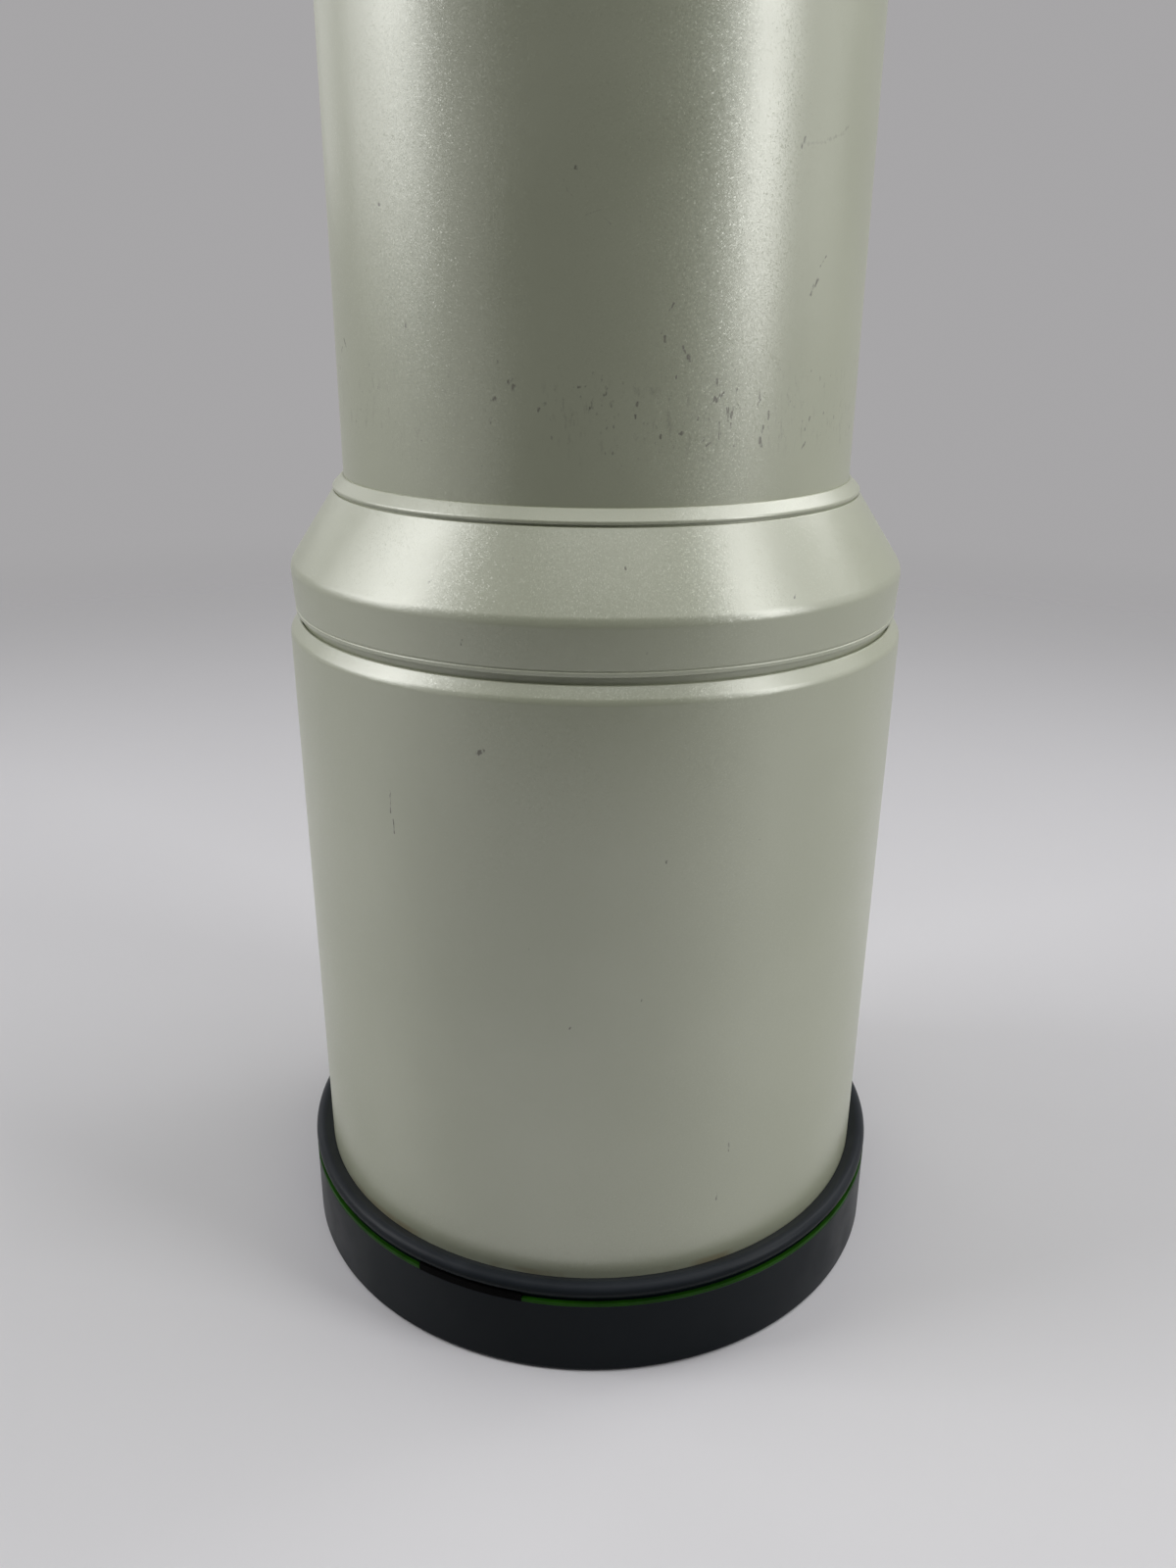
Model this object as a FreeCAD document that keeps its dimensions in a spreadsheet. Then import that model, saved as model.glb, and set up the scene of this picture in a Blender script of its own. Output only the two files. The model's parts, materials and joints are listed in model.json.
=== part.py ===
import FreeCAD, Part
import math
import os
import Sketcher
from FreeCAD import Placement, Rotation, Vector

# A long telephoto lens that stands on the black ring of its hood, front glass down.
# Millimetres. +Z runs along the optical axis from the subject side to the camera side.
# The origin is the centre of the hood ring's front face, the face the lens stands on.

doc = FreeCAD.newDocument("TelephotoLens")

# Driving dimensions. Heights are measured from the front face of the hood ring.
DIMENSIONS = {
    "Hood": {
        "ring_wall": 3.4,
        "ring_lip": 0.4,
        "ring_foot_round": 1.0,
        "ring_height": 21.2,
        "ring_floor": 6.0,
        "ring_bead_round": 1.5,
        "bead_inset": 0.7,
        "bead_height": 2.9,
        "stripe_width": 0.9,
        "stripe_depth": 0.8,
        "stripe_groove": 0.8,
        "plate_angle": 20.1,
        "plate_azimuth": 238.2,
        "hood_radius": 61.6,
        "hood_wall": 1.4,
        "hood_top": 141.0,
        "rim_bevel_height": 2.4,
        "rim_edge": 0.4,
        "rim_lip_height": 3.0,
        "bevel_round": 0.8,
        "lining_thickness": 0.4,
        "hood_travel": 95.0,
        "felt_length": 7.0,
        "felt_gap": 0.3,
        "hood_stop_gap": 3.0,
    },
    "Front barrel and front glass": {
        "barrel_gap": 1.8,
        "barrel_inset": 3.0,
        "barrel_wall": 3.0,
        "thread_wall": 2.0,
        "thread_length": 6.0,
        "bezel_flange": 2.0,
        "thread_shoulder": 1.0,
        "bezel_lip": 0.8,
        "bezel_overhang": 2.1,
        "glass_lip": 2.9,
        "bezel_height": 6.0,
        "first_glass_edge": 5.0,
        "first_front_bulge": 4.5,
        "first_rear_bulge": 3.4,
        "spacer_height": 10.5,
        "second_glass_edge": 5.0,
        "second_front_bulge": 6.3,
        "second_rear_hollow": 2.0,
        "third_glass_edge": 6.0,
        "doublet_gap": 0.2,
        "third_rear_hollow": 5.0,
        "seat_flange": 3.0,
        "slide_felt_groove": 1.0,
    },
    "Flare and main tube": {
        "neck_wall": 1.2,
        "neck_length": 6.4,
        "hood_joint_gap": 1.4,
        "band_step": 1.1,
        "band_swell": 0.5,
        "band_height": 9.1,
        "flare_round": 1.2,
        "cone_height": 13.6,
        "collar_step": 2.2,
        "barrel_seat_drop": 1.5,
        "seat_wall": 3.0,
        "seam_width": 0.4,
        "seam_depth": 0.5,
        "collar_land": 0.5,
        "collar_height": 2.8,
        "collar_top_step": 0.3,
        "tube_radius": 49.5,
        "tube_wall": 2.0,
        "tube_length": 109.0,
        "bulkhead_thickness": 3.0,
        "baffle_thickness": 1.0,
        "baffle_count": 3,
        "baffle_start": 27.0,
        "baffle_pitch": 24.0,
        "baffle_width": 3.5,
        "baffle_mouth_step": 1.8,
    },
    "Focusing": {
        "guide_inset": 8.2,
        "guide_wall": 2.5,
        "guide_flange_reach": 4.0,
        "guide_flange": 3.0,
        "cam_wall": 2.3,
        "cam_front_gap": 2.0,
        "cam_rear_gap": 3.0,
        "running_gap": 0.1,
        "focus_step": 0.7,
        "focus_length": 74.0,
        "focus_wall": 2.0,
        "focus_joint_gap": 0.4,
        "focus_web": 6.0,
        "grip_length": 58.0,
        "grip_thickness": 2.0,
        "rib_depth": 1.1,
        "rib_groove": 2.4,
        "rib_count": 60,
        "grip_land": 3.0,
        "cell_start": 14.0,
        "cell_length": 24.0,
        "cell_wall": 7.4,
        "cell_lip": 2.0,
        "focus_travel": 18.0,
        "focus_throw": 150.0,
        "follower_radius": 2.0,
        "follower_inset": 8.0,
        "follower_count": 3,
        "follower_gap": 0.15,
        "follower_wall": 4.0,
        "follower_tip_gap": 0.5,
        "follower_run_out": 1.0,
        "fourth_glass_edge": 4.0,
        "fourth_bulge": 2.6,
        "fourth_rear_bulge": 1.6,
        "fifth_glass_edge": 5.0,
        "focus_pair_gap": 0.6,
        "fifth_rear_bulge": 0.8,
        "glass_rim": 1.5,
        "cell_ring_height": 3.0,
    },
    "Middle barrel and tripod collar": {
        "button_land": 24.0,
        "button_radius": 4.0,
        "button_gap": 0.3,
        "button_well": 4.7,
        "button_proud": 0.5,
        "button_travel": 0.8,
        "button_edge": 0.4,
        "button_dish": 0.5,
        "button_floor_gap": 0.3,
        "button_count": 4,
        "track_inset": 3.7,
        "track_length": 38.0,
        "track_wall": 3.0,
        "spigot_length": 6.0,
        "clamp_wall": 7.2,
        "clamp_gap": 0.3,
        "clamp_end_gap": 0.6,
        "clamp_round": 1.5,
        "boss_width": 32.0,
        "boss_length": 32.0,
        "boss_rise": 6.0,
        "foot_flange": 4.0,
        "foot_neck_width": 17.0,
        "foot_neck_length": 26.0,
        "foot_neck_height": 16.0,
        "foot_plate": 10.0,
        "foot_width": 34.0,
        "foot_front_reach": 89.0,
        "foot_rear_reach": 21.0,
        "foot_corner": 6.0,
        "foot_screw_radius": 1.5,
        "foot_screw_head": 2.6,
        "foot_screw_head_height": 2.5,
        "foot_screw_length": 10.0,
        "foot_screw_side_inset": 3.6,
        "foot_screw_end_inset": 5.0,
        "foot_screw_tip_gap": 0.3,
        "foot_socket_radius": 1.2,
        "foot_socket_depth": 1.5,
        "screw_gap": 0.1,
        "big_thread_radius": 4.7625,
        "big_thread_inset": 28.0,
        "small_thread_radius": 3.175,
        "thread_spacing": 24.0,
        "thread_depth": 7.5,
        "knob_boss_radius": 8.0,
        "knob_boss_rise": 5.0,
        "knob_radius": 10.0,
        "knob_length": 13.0,
        "knob_stem_radius": 3.0,
        "knob_face_gap": 0.4,
        "knob_stem_gap": 0.3,
        "knob_tip_gap": 0.5,
        "knob_flute_radius": 1.6,
        "knob_flute_out": 0.5,
        "knob_flutes": 14,
        "knob_round": 1.2,
    },
    "Rear barrel": {
        "rear_rise": 1.5,
        "rear_wall": 4.0,
        "rear_step": 1.0,
        "rear_length": 72.0,
        "rear_cone_length": 30.0,
        "mount_land": 4.0,
        "rear_neck_wall": 2.5,
        "rear_neck_length": 19.0,
        "rear_bulkhead": 3.0,
        "rear_cone_shift": 2.0,
        "screw_land": 2.8,
        "lug_inset": 7.5,
        "lug_azimuth": 50.0,
        "lug_reach": 9.0,
        "lug_width": 9.0,
        "lug_thickness": 3.0,
        "lug_hole_radius": 2.3,
        "lug_hole_reach": 5.4,
        "panel_inset": 12.0,
        "panel_length": 52.0,
        "panel_width": 30.0,
        "panel_depth": 2.6,
        "panel_rise": 2.0,
        "panel_round": 1.2,
        "panel_gap": 0.05,
        "switch_width": 8.0,
        "switch_length": 7.0,
        "switch_well": 2.6,
        "switch_proud": 1.6,
        "switch_gap": 0.3,
        "switch_round": 0.8,
        "focus_switch_inset": 11.0,
        "focus_switch_travel": 4.0,
        "limit_switch_inset": 35.0,
        "limit_switch_travel": 6.0,
    },
    "Aperture unit": {
        "iris_floor": 2.0,
        "iris_end_gap": 0.4,
        "iris_wall": 3.0,
        "iris_ring_gap": 0.3,
        "blade_count": 9,
        "blade_thickness": 0.25,
        "blade_pitch": 0.4,
        "blade_rise": 0.4,
        "blade_width": 7.5,
        "blade_overlap": 0.5,
        "pivot_inset": 2.0,
        "blade_sweep": 105.0,
        "blade_root_angle": 3.0,
        "blade_arm_width": 3.0,
        "blade_arm": 8.5,
        "pivot_pin": 0.7,
        "pivot_gap": 0.1,
        "drive_inset": 2.2,
        "drive_slide": 1.1,
        "drive_gap": 0.3,
        "drive_reach": 1.2,
        "control_gap": 0.6,
        "control_thickness": 1.8,
        "control_overhang": 1.5,
        "lever_inset": 2.5,
        "lever_clearance": 3.0,
        "lever_rod": 1.2,
        "lever_arm_inset": 6.0,
        "lever_arm_thickness": 1.6,
        "lever_arm_width": 3.0,
        "lever_tab_inset": 2.8,
        "lever_tab_thickness": 1.2,
        "lever_tip_drop": 1.0,
        "lever_azimuth": 300.0,
        "lever_swing": 6.9,
    },
    "Rear glass": {
        "rear_cell_flange": 3.0,
        "rear_cell_wall": 3.0,
        "rear_cell_margin": 4.0,
        "rear_seat_depth": 22.2,
        "rear_seat": 2.0,
        "rear_glass_rim": 2.5,
        "sixth_glass_edge": 4.0,
        "sixth_front_hollow": 1.8,
        "sixth_rear_bulge": 1.0,
        "seventh_glass_edge": 4.0,
        "rear_pair_gap": 0.3,
        "seventh_rear_bulge": 2.4,
        "rear_ring_height": 4.0,
        "seat_gap": 0.05,
    },
    "Camera mount": {
        "mount_radius": 32.5,
        "mount_thickness": 3.0,
        "mount_bore": 20.8,
        "bayonet_wall": 1.6,
        "bayonet_length": 5.0,
        "claw_reach": 1.6,
        "claw_thickness": 1.6,
        "claw_angle": 62.0,
        "claw_count": 3,
        "screw_inset": 3.7,
        "mount_screw_count": 5,
        "mount_screw_radius": 1.0,
        "mount_screw_head": 1.9,
        "mount_screw_head_height": 1.2,
        "mount_screw_sink": 0.1,
        "contact_count": 7,
        "contact_radius": 0.9,
        "contact_inset": 1.6,
        "contact_pitch": 6.5,
        "contact_first": 200.0,
        "contact_length": 2.4,
        "seal_thickness": 1.6,
        "seal_proud": 0.5,
    },
}


def write_sheet(groups):
    """Put every driving dimension into the spreadsheet, under a heading for each group."""
    page = doc.addObject("Spreadsheet::Sheet", "Sizes")
    row = 1
    for heading, cells in groups.items():
        page.set("A%d" % row, heading)
        row += 1
        for alias, number in cells.items():
            page.set("A%d" % row, alias)
            page.set("B%d" % row, str(number))
            page.setAlias("B%d" % row, alias)
            row += 1
    doc.recompute()
    return page


sheet = write_sheet(DIMENSIONS)


class Size:
    """A length, angle or count, held with the spreadsheet formula that gives it."""

    def __init__(self, value, formula):
        self.value = value
        self.formula = formula

    def __add__(self, other):
        other = as_size(other)
        return Size(self.value + other.value, "(%s + %s)" % (self.formula, other.formula))

    def __sub__(self, other):
        other = as_size(other)
        return Size(self.value - other.value, "(%s - %s)" % (self.formula, other.formula))

    def __mul__(self, other):
        other = as_size(other)
        return Size(self.value * other.value, "(%s * %s)" % (self.formula, other.formula))

    def __truediv__(self, other):
        other = as_size(other)
        return Size(self.value / other.value, "(%s / %s)" % (self.formula, other.formula))

    def __neg__(self):
        return Size(-self.value, "(-%s)" % self.formula)


def as_size(number):
    """A plain number as a Size, so both can stand in one formula."""
    if isinstance(number, Size):
        return number
    return Size(number, repr(number))


class SheetSizes:
    """Gives each cell of the sheet as a Size, by its alias."""

    def __getattr__(self, alias):
        return Size(float(sheet.get(alias)), "Sizes." + alias)


size = SheetSizes()
pieces = []


def piece(name, shape_object):
    """Name a finished piece and list it for writing."""
    shape_object.Label = name
    pieces.append(shape_object)
    return shape_object


def origin_plane(body, role):
    """One of a body's own origin planes, such as XY_Plane."""
    return [feature for feature in body.Origin.OriginFeatures if feature.Role == role][0]


def new_sketch(body, name, role, offset=None):
    """A sketch on an origin plane of its body, lifted off it by offset."""
    sketch = body.newObject("Sketcher::SketchObject", name)
    sketch.AttachmentSupport = [(origin_plane(body, role), "")]
    sketch.MapMode = "FlatFace"
    if offset is not None:
        offset = as_size(offset)
        sketch.AttachmentOffset = Placement(Vector(0, 0, offset.value), Rotation())
        sketch.setExpression("AttachmentOffset.Base.z", offset.formula)
    return sketch


def draw_outline(sketch, outline):
    """Draw a closed outline. A corner is (across, up), or (across, up, "bulge") where the
    edge that leaves it is an arc about a centre on the vertical axis."""
    corners = [(as_size(corner[0]), as_size(corner[1])) for corner in outline]
    count = len(corners)
    for index in range(count):
        start = Vector(corners[index][0].value, corners[index][1].value, 0)
        following = corners[(index + 1) % count]
        end = Vector(following[0].value, following[1].value, 0)
        if len(outline[index]) == 2:
            sketch.addGeometry(Part.LineSegment(start, end))
            continue
        centre, radius = axis_circle(start, end)
        first = math.atan2(start.y - centre, start.x)
        last = math.atan2(end.y - centre, end.x)
        circle = Part.Circle(Vector(0, centre, 0), Vector(0, 0, 1), radius)
        sketch.addGeometry(Part.ArcOfCircle(circle, min(first, last), max(first, last)))
    join_outline(sketch, outline, corners)


def axis_circle(start, end):
    """Centre height and radius of the circle through two points, centred on the vertical axis."""
    rise = end.y - start.y
    centre = (end.x ** 2 - start.x ** 2 + end.y ** 2 - start.y ** 2) / (2 * rise)
    return centre, math.hypot(start.x, start.y - centre)


def arc_ends(sketch, index, start):
    """Which end of a drawn edge is its start and which its end, for edges drawn either way."""
    drawn_start = sketch.Geometry[index].StartPoint
    if drawn_start.distanceToPoint(Vector(start[0].value, start[1].value, 0)) < 1e-6:
        return 1, 2
    return 2, 1


def join_outline(sketch, outline, corners):
    """Join the edges end to end and bind every corner to the sheet."""
    count = len(corners)
    ends = [arc_ends(sketch, index, corners[index]) for index in range(count)]
    for index in range(count):
        following = (index + 1) % count
        joint = Sketcher.Constraint("Coincident", index, ends[index][1], following, ends[following][0])
        sketch.addConstraint(joint)
        if len(outline[index]) == 3:
            sketch.addConstraint(Sketcher.Constraint("PointOnObject", index, 3, -2))
    for index in range(count):
        for kind, number in zip(("DistanceX", "DistanceY"), corners[index]):
            bind_corner(sketch, kind, index, ends[index][0], number)


def bind_corner(sketch, kind, index, end, number):
    """Bind one coordinate of one corner. A coordinate of nothing lies on the axis itself."""
    if abs(number.value) < 1e-9:
        axis = -2 if kind == "DistanceX" else -1
        sketch.addConstraint(Sketcher.Constraint("PointOnObject", index, end, axis))
        return
    constraint = sketch.addConstraint(Sketcher.Constraint(kind, -1, 1, index, end, number.value))
    sketch.setExpression("Constraints[%d]" % constraint, number.formula)


def turned_body(name, outline, angle=360.0):
    """A body turned about its Z axis from an outline of (radius, height) corners."""
    body = doc.addObject("PartDesign::Body", name)
    sketch = new_sketch(body, name + "_outline", "XZ_Plane")
    draw_outline(sketch, outline)
    turn = body.newObject("PartDesign::Revolution", name + "_turn")
    turn.Profile = (sketch, [""])
    turn.ReferenceAxis = (sketch, ["V_Axis"])
    angle = as_size(angle)
    turn.Angle = angle.value
    turn.setExpression("Angle", angle.formula)
    doc.recompute()
    return body


def round_rims(body, radius, rims):
    """Round the circular rims of a turned body that lie at the given (radius, height)."""
    base = body.Tip
    names = []
    for number, edge in enumerate(base.Shape.Edges, 1):
        if not isinstance(edge.Curve, Part.Circle):
            continue
        for rim_radius, rim_height in rims:
            same_radius = abs(edge.Curve.Radius - as_size(rim_radius).value) < 1e-4
            same_height = abs(edge.Curve.Center.z - as_size(rim_height).value) < 1e-4
            if same_radius and same_height:
                names.append("Edge%d" % number)
    rounding = body.newObject("PartDesign::Fillet", body.Name + "_round")
    rounding.Base = (base, names)
    rounding.setExpression("Radius", as_size(radius).formula)
    doc.recompute()
    return body


def turned(name, outline, radius=None, rims=()):
    """A finished turned piece, with some of its rims rounded."""
    body = turned_body(name + "_body", outline)
    if radius is not None:
        round_rims(body, radius, rims)
    return piece(name, body)


def cut_pattern(body, name, role, outline, depth, count, offset=None, reverse=False):
    """Cut a straight-sided pocket and repeat it round the Z axis."""
    sketch = new_sketch(body, name + "_sketch", role, offset)
    draw_outline(sketch, outline)
    return pattern_of_pocket(body, name, sketch, depth, count, reverse)


def pattern_of_pocket(body, name, sketch, depth, count, reverse):
    """Cut the sketch into the body and repeat the cut round the Z axis."""
    before = body.Shape.Volume
    pocket = body.newObject("PartDesign::Pocket", name)
    pocket.Profile = (sketch, [""])
    pocket.Reversed = reverse
    pocket.setExpression("Length", as_size(depth).formula)
    doc.recompute()
    if count is not None:
        repeat_round_axis(body, name + "_pattern", pocket, count)
    if body.Shape.Volume >= before:
        raise RuntimeError("%s cut nothing" % name)
    return body


def repeat_round_axis(body, name, feature, count):
    """Repeat a feature evenly round the body's Z axis."""
    pattern = body.newObject("PartDesign::PolarPattern", name)
    pattern.Originals = [feature]
    z_axis = [part for part in body.Origin.OriginFeatures if part.Role == "Z_Axis"][0]
    pattern.Axis = (z_axis, [""])
    pattern.Angle = 360.0
    pattern.Occurrences = int(as_size(count).value)
    pattern.setExpression("Occurrences", as_size(count).formula)
    body.Tip = pattern
    doc.recompute()


def place(shape_object, x=0, y=0, z=0, rotation=None):
    """Set a primitive's placement, its position bound to the sheet."""
    spot = [as_size(number) for number in (x, y, z)]
    turn = rotation if rotation is not None else Rotation()
    shape_object.Placement = Placement(Vector(*[number.value for number in spot]), turn)
    for axis, number in zip("xyz", spot):
        if "Sizes." in number.formula:
            shape_object.setExpression("Placement.Base." + axis, number.formula)
    return shape_object


def cylinder(name, radius, height, angle=360.0):
    """A cylinder, or a sector of one, with sizes bound to the sheet."""
    solid = doc.addObject("Part::Cylinder", name)
    solid.setExpression("Radius", as_size(radius).formula)
    solid.setExpression("Height", as_size(height).formula)
    solid.setExpression("Angle", as_size(angle).formula)
    return solid


def block(name, length, width, height):
    """A box with sizes bound to the sheet."""
    solid = doc.addObject("Part::Box", name)
    solid.setExpression("Length", as_size(length).formula)
    solid.setExpression("Width", as_size(width).formula)
    solid.setExpression("Height", as_size(height).formula)
    return solid


def fused(name, parts):
    """Several overlapping solids as one."""
    whole = doc.addObject("Part::MultiFuse", name)
    whole.Shapes = parts
    whole.Refine = True
    doc.recompute()
    return whole


def cut(name, base, tools):
    """A solid with other solids taken out of it."""
    tool = tools[0] if len(tools) == 1 else fused(name + "_tools", tools)
    remainder = doc.addObject("Part::Cut", name)
    remainder.Base = base
    remainder.Tool = tool
    remainder.Refine = True
    doc.recompute()
    if remainder.Shape.Volume >= base.Shape.Volume:
        raise RuntimeError("%s cut nothing" % name)
    return remainder


def group(name, parts):
    """Separate solids of one kind kept together, such as a set of screws."""
    together = doc.addObject("Part::Compound", name)
    together.Links = parts
    doc.recompute()
    return together


def polar_spot(radius, azimuth_degrees):
    """X and Y, as sizes, at a radius and azimuth."""
    turn = math.radians(azimuth_degrees)
    return as_size(radius) * math.cos(turn), as_size(radius) * math.sin(turn)


# Directions that a primitive's own Z axis is turned to
ALONG_X = Rotation(Vector(0, 1, 0), 90)
ALONG_MINUS_X = Rotation(Vector(0, 1, 0), -90)
ALONG_Y = Rotation(Vector(1, 0, 0), -90)


def radial(azimuth_degrees):
    """A turn that lays a primitive's Z axis outward at an azimuth."""
    return Rotation(Vector(0, 0, 1), azimuth_degrees).multiply(ALONG_X)


def add_pad(body, name, role, outline, length, offset=None, reverse=False):
    """Add a straight-sided block of material to a body."""
    sketch = new_sketch(body, name + "_sketch", role, offset)
    draw_outline(sketch, outline)
    pad = body.newObject("PartDesign::Pad", name)
    pad.Profile = (sketch, [""])
    pad.Reversed = reverse
    pad.setExpression("Length", as_size(length).formula)
    doc.recompute()
    return pad


def drill(body, name, role, spot, radius, depth, count=None, offset=None, reverse=False):
    """Bore a round hole at a spot of a plane, and repeat it round the Z axis if asked."""
    sketch = new_sketch(body, name + "_sketch", role, offset)
    across, up = as_size(spot[0]), as_size(spot[1])
    radius = as_size(radius)
    centre = Vector(across.value, up.value, 0)
    sketch.addGeometry(Part.Circle(centre, Vector(0, 0, 1), radius.value))
    constraint = sketch.addConstraint(Sketcher.Constraint("Radius", 0, radius.value))
    sketch.setExpression("Constraints[%d]" % constraint, radius.formula)
    bind_corner(sketch, "DistanceX", 0, 3, across)
    bind_corner(sketch, "DistanceY", 0, 3, up)
    return pattern_of_pocket(body, name, sketch, depth, count, reverse)


def rectangle(left, right, low, high):
    """Corners of an upright rectangle."""
    return [(left, low), (right, low), (right, high), (left, high)]


def ring_outline(inner, outer, low, high):
    """Outline of a plain ring: inner and outer radius, low and high end."""
    return rectangle(inner, outer, low, high)


def ring_sector(inner, outer, start_degrees, end_degrees):
    """Outline, seen from above, of part of a flat ring."""
    first = math.radians(start_degrees)
    last = math.radians(end_degrees)
    outer, inner = as_size(outer), as_size(inner)
    return [
        (outer * math.cos(first), outer * math.sin(first), "arc"),
        (outer * math.cos(last), outer * math.sin(last)),
        (inner * math.cos(last), inner * math.sin(last), "arc"),
        (inner * math.cos(first), inner * math.sin(first)),
    ]


def round_edges(body, radius, chosen):
    """Round the edges of a body whose middle point the test chosen picks out."""
    base = body.Tip
    names = []
    for number, edge in enumerate(base.Shape.Edges, 1):
        middle = edge.valueAt((edge.FirstParameter + edge.LastParameter) / 2)
        if chosen(middle):
            names.append("Edge%d" % number)
    rounding = body.newObject("PartDesign::Fillet", body.Name + "_round")
    rounding.Base = (base, names)
    rounding.setExpression("Radius", as_size(radius).formula)
    doc.recompute()
    return body


def lens_outline(radius, clear_radius, front, edge, front_bulge, rear_bulge):
    """Outline of a lens element. A positive bulge is convex, a negative one hollow."""
    rear = front + edge
    return [
        (0, front - front_bulge, "arc"),
        (clear_radius, front),
        (radius, front),
        (radius, rear),
        (clear_radius, rear, "arc"),
        (0, rear + rear_bulge),
    ]


# Radii that several pieces share, from the hood inward

ring_radius = size.hood_radius + size.ring_wall
bead_radius = ring_radius - size.bead_inset
hood_bore = size.hood_radius - size.hood_wall
lining_bore = hood_bore - size.lining_thickness
ring_mouth = lining_bore - size.ring_lip
barrel_radius = lining_bore - size.barrel_gap
thread_radius = barrel_radius - size.thread_wall
bezel_radius = thread_radius - size.thread_shoulder
front_glass_radius = bezel_radius - size.bezel_overhang
front_clear_radius = front_glass_radius - size.glass_lip
neck_radius = barrel_radius + size.neck_wall
band_radius = neck_radius + size.band_step
flare_radius = band_radius + size.band_swell

# Radii of the main tube and all that follows it

flare_top_radius = size.tube_radius + size.collar_step
tube_bore = size.tube_radius - size.tube_wall
baffle_mouth_first = tube_bore - size.baffle_width
focus_radius = size.tube_radius + size.focus_step
sleeve_bore = focus_radius - size.focus_wall
guide_radius = focus_radius - size.guide_inset
guide_bore = guide_radius - size.guide_wall
guide_flange_radius = guide_radius + size.guide_flange_reach
cam_bore = guide_radius + size.running_gap
cam_radius = cam_bore + size.cam_wall
focus_cell_radius = guide_bore - size.running_gap
focus_cell_bore = focus_cell_radius - size.cell_wall
follower_root = focus_cell_bore + size.follower_wall
follower_fit = size.follower_radius + size.follower_gap
track_radius = focus_radius - size.track_inset
middle_bore = track_radius - size.track_wall
clamp_bore = track_radius + size.clamp_gap
clamp_radius = clamp_bore + size.clamp_wall
boss_face = clamp_radius + size.boss_rise
knob_boss_face = clamp_radius + size.knob_boss_rise
foot_face = boss_face + size.foot_flange + size.foot_neck_height + size.foot_plate
foot_screw_x = size.boss_width / 2 - size.foot_screw_side_inset
foot_screw_z = size.boss_length / 2 - size.foot_screw_end_inset
rear_radius = track_radius + size.rear_rise
rear_bore = rear_radius - size.rear_wall
panel_floor = rear_radius - size.panel_depth
panel_face = rear_radius + size.panel_rise

# Radii of the aperture unit, the rear cell and the mount

control_radius = rear_bore - size.iris_wall - size.iris_ring_gap
drive_radius = control_radius - size.drive_inset
drive_slot_inner = drive_radius - size.drive_slide
pivot_radius = drive_radius - size.blade_arm
blade_outer = pivot_radius - size.pivot_inset
blade_inner = blade_outer - size.blade_width
iris_mouth = blade_inner - size.blade_overlap
control_inner = pivot_radius - size.control_overhang
lever_radius = control_inner + size.lever_inset
rear_cell_radius = lever_radius - size.lever_clearance
rear_cell_bore = rear_cell_radius - size.rear_cell_wall
rear_seat_mouth = rear_cell_bore - size.rear_glass_rim
bayonet_radius = size.mount_bore + size.bayonet_wall
claw_radius = bayonet_radius + size.claw_reach
contact_circle = claw_radius + size.contact_inset
screw_circle = size.mount_radius - size.screw_inset
rear_mouth = screw_circle - size.screw_land
rear_neck_radius = size.mount_radius + size.mount_land
lever_tab_radius = size.mount_bore - size.lever_tab_inset

# Heights of the hood, the flare and the front glass

stripe_bottom = size.ring_height - size.bead_height - size.stripe_groove - size.stripe_width
band_bottom = size.hood_top + size.hood_joint_gap
neck_bottom = band_bottom - size.neck_length
flare_edge = band_bottom + size.band_height
flare_top = flare_edge + size.cone_height
collar_top = flare_top + size.collar_height
felt_bottom = neck_bottom - size.felt_length
slide_felt_bottom = felt_bottom - size.hood_travel - size.felt_length - size.hood_stop_gap
barrel_front = size.ring_floor + size.barrel_inset
thread_end = barrel_front + size.thread_length
bezel_step = thread_end + size.bezel_flange
glass_seat = thread_end + size.bezel_height
first_rear = glass_seat + size.first_glass_edge
second_front = first_rear + size.spacer_height
third_front = second_front + size.second_glass_edge
stack_end = third_front + size.third_glass_edge
third_front_bulge = size.second_rear_hollow - size.doublet_gap

# Heights of the main tube, the focusing part and the middle barrel

barrel_seat = flare_edge - size.barrel_seat_drop
tube_seat = barrel_seat + size.seat_wall
baffle_first = tube_seat + size.baffle_start
tube_end = tube_seat + size.tube_length
bulkhead_front = tube_end - size.bulkhead_thickness
guide_end = tube_end + size.focus_length
sleeve_start = tube_end + size.focus_joint_gap
sleeve_end = guide_end - size.focus_joint_gap
sleeve_middle = (sleeve_start + sleeve_end) / 2
web_bottom = sleeve_middle - size.focus_web / 2
grip_bottom = sleeve_middle - size.grip_length / 2
cam_bottom = tube_end + size.cam_front_gap
cam_top = guide_end - size.guide_flange - size.cam_rear_gap
cell_bottom = tube_end + size.cell_start
follower_height = cell_bottom + size.follower_inset
fifth_front_hollow = size.fourth_rear_bulge + size.focus_pair_gap
land_end = guide_end + size.button_land
button_height = (guide_end + land_end) / 2
track_end = land_end + size.track_length
clamp_start = land_end + size.clamp_end_gap
clamp_end = track_end - size.clamp_end_gap
clamp_middle = (clamp_start + clamp_end) / 2
foot_bottom = clamp_middle - size.foot_front_reach
foot_top = clamp_middle + size.foot_rear_reach
big_thread_height = foot_bottom + size.big_thread_inset
small_thread_height = big_thread_height + size.thread_spacing

# Heights of the rear barrel, the aperture unit, the rear cell and the mount

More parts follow.
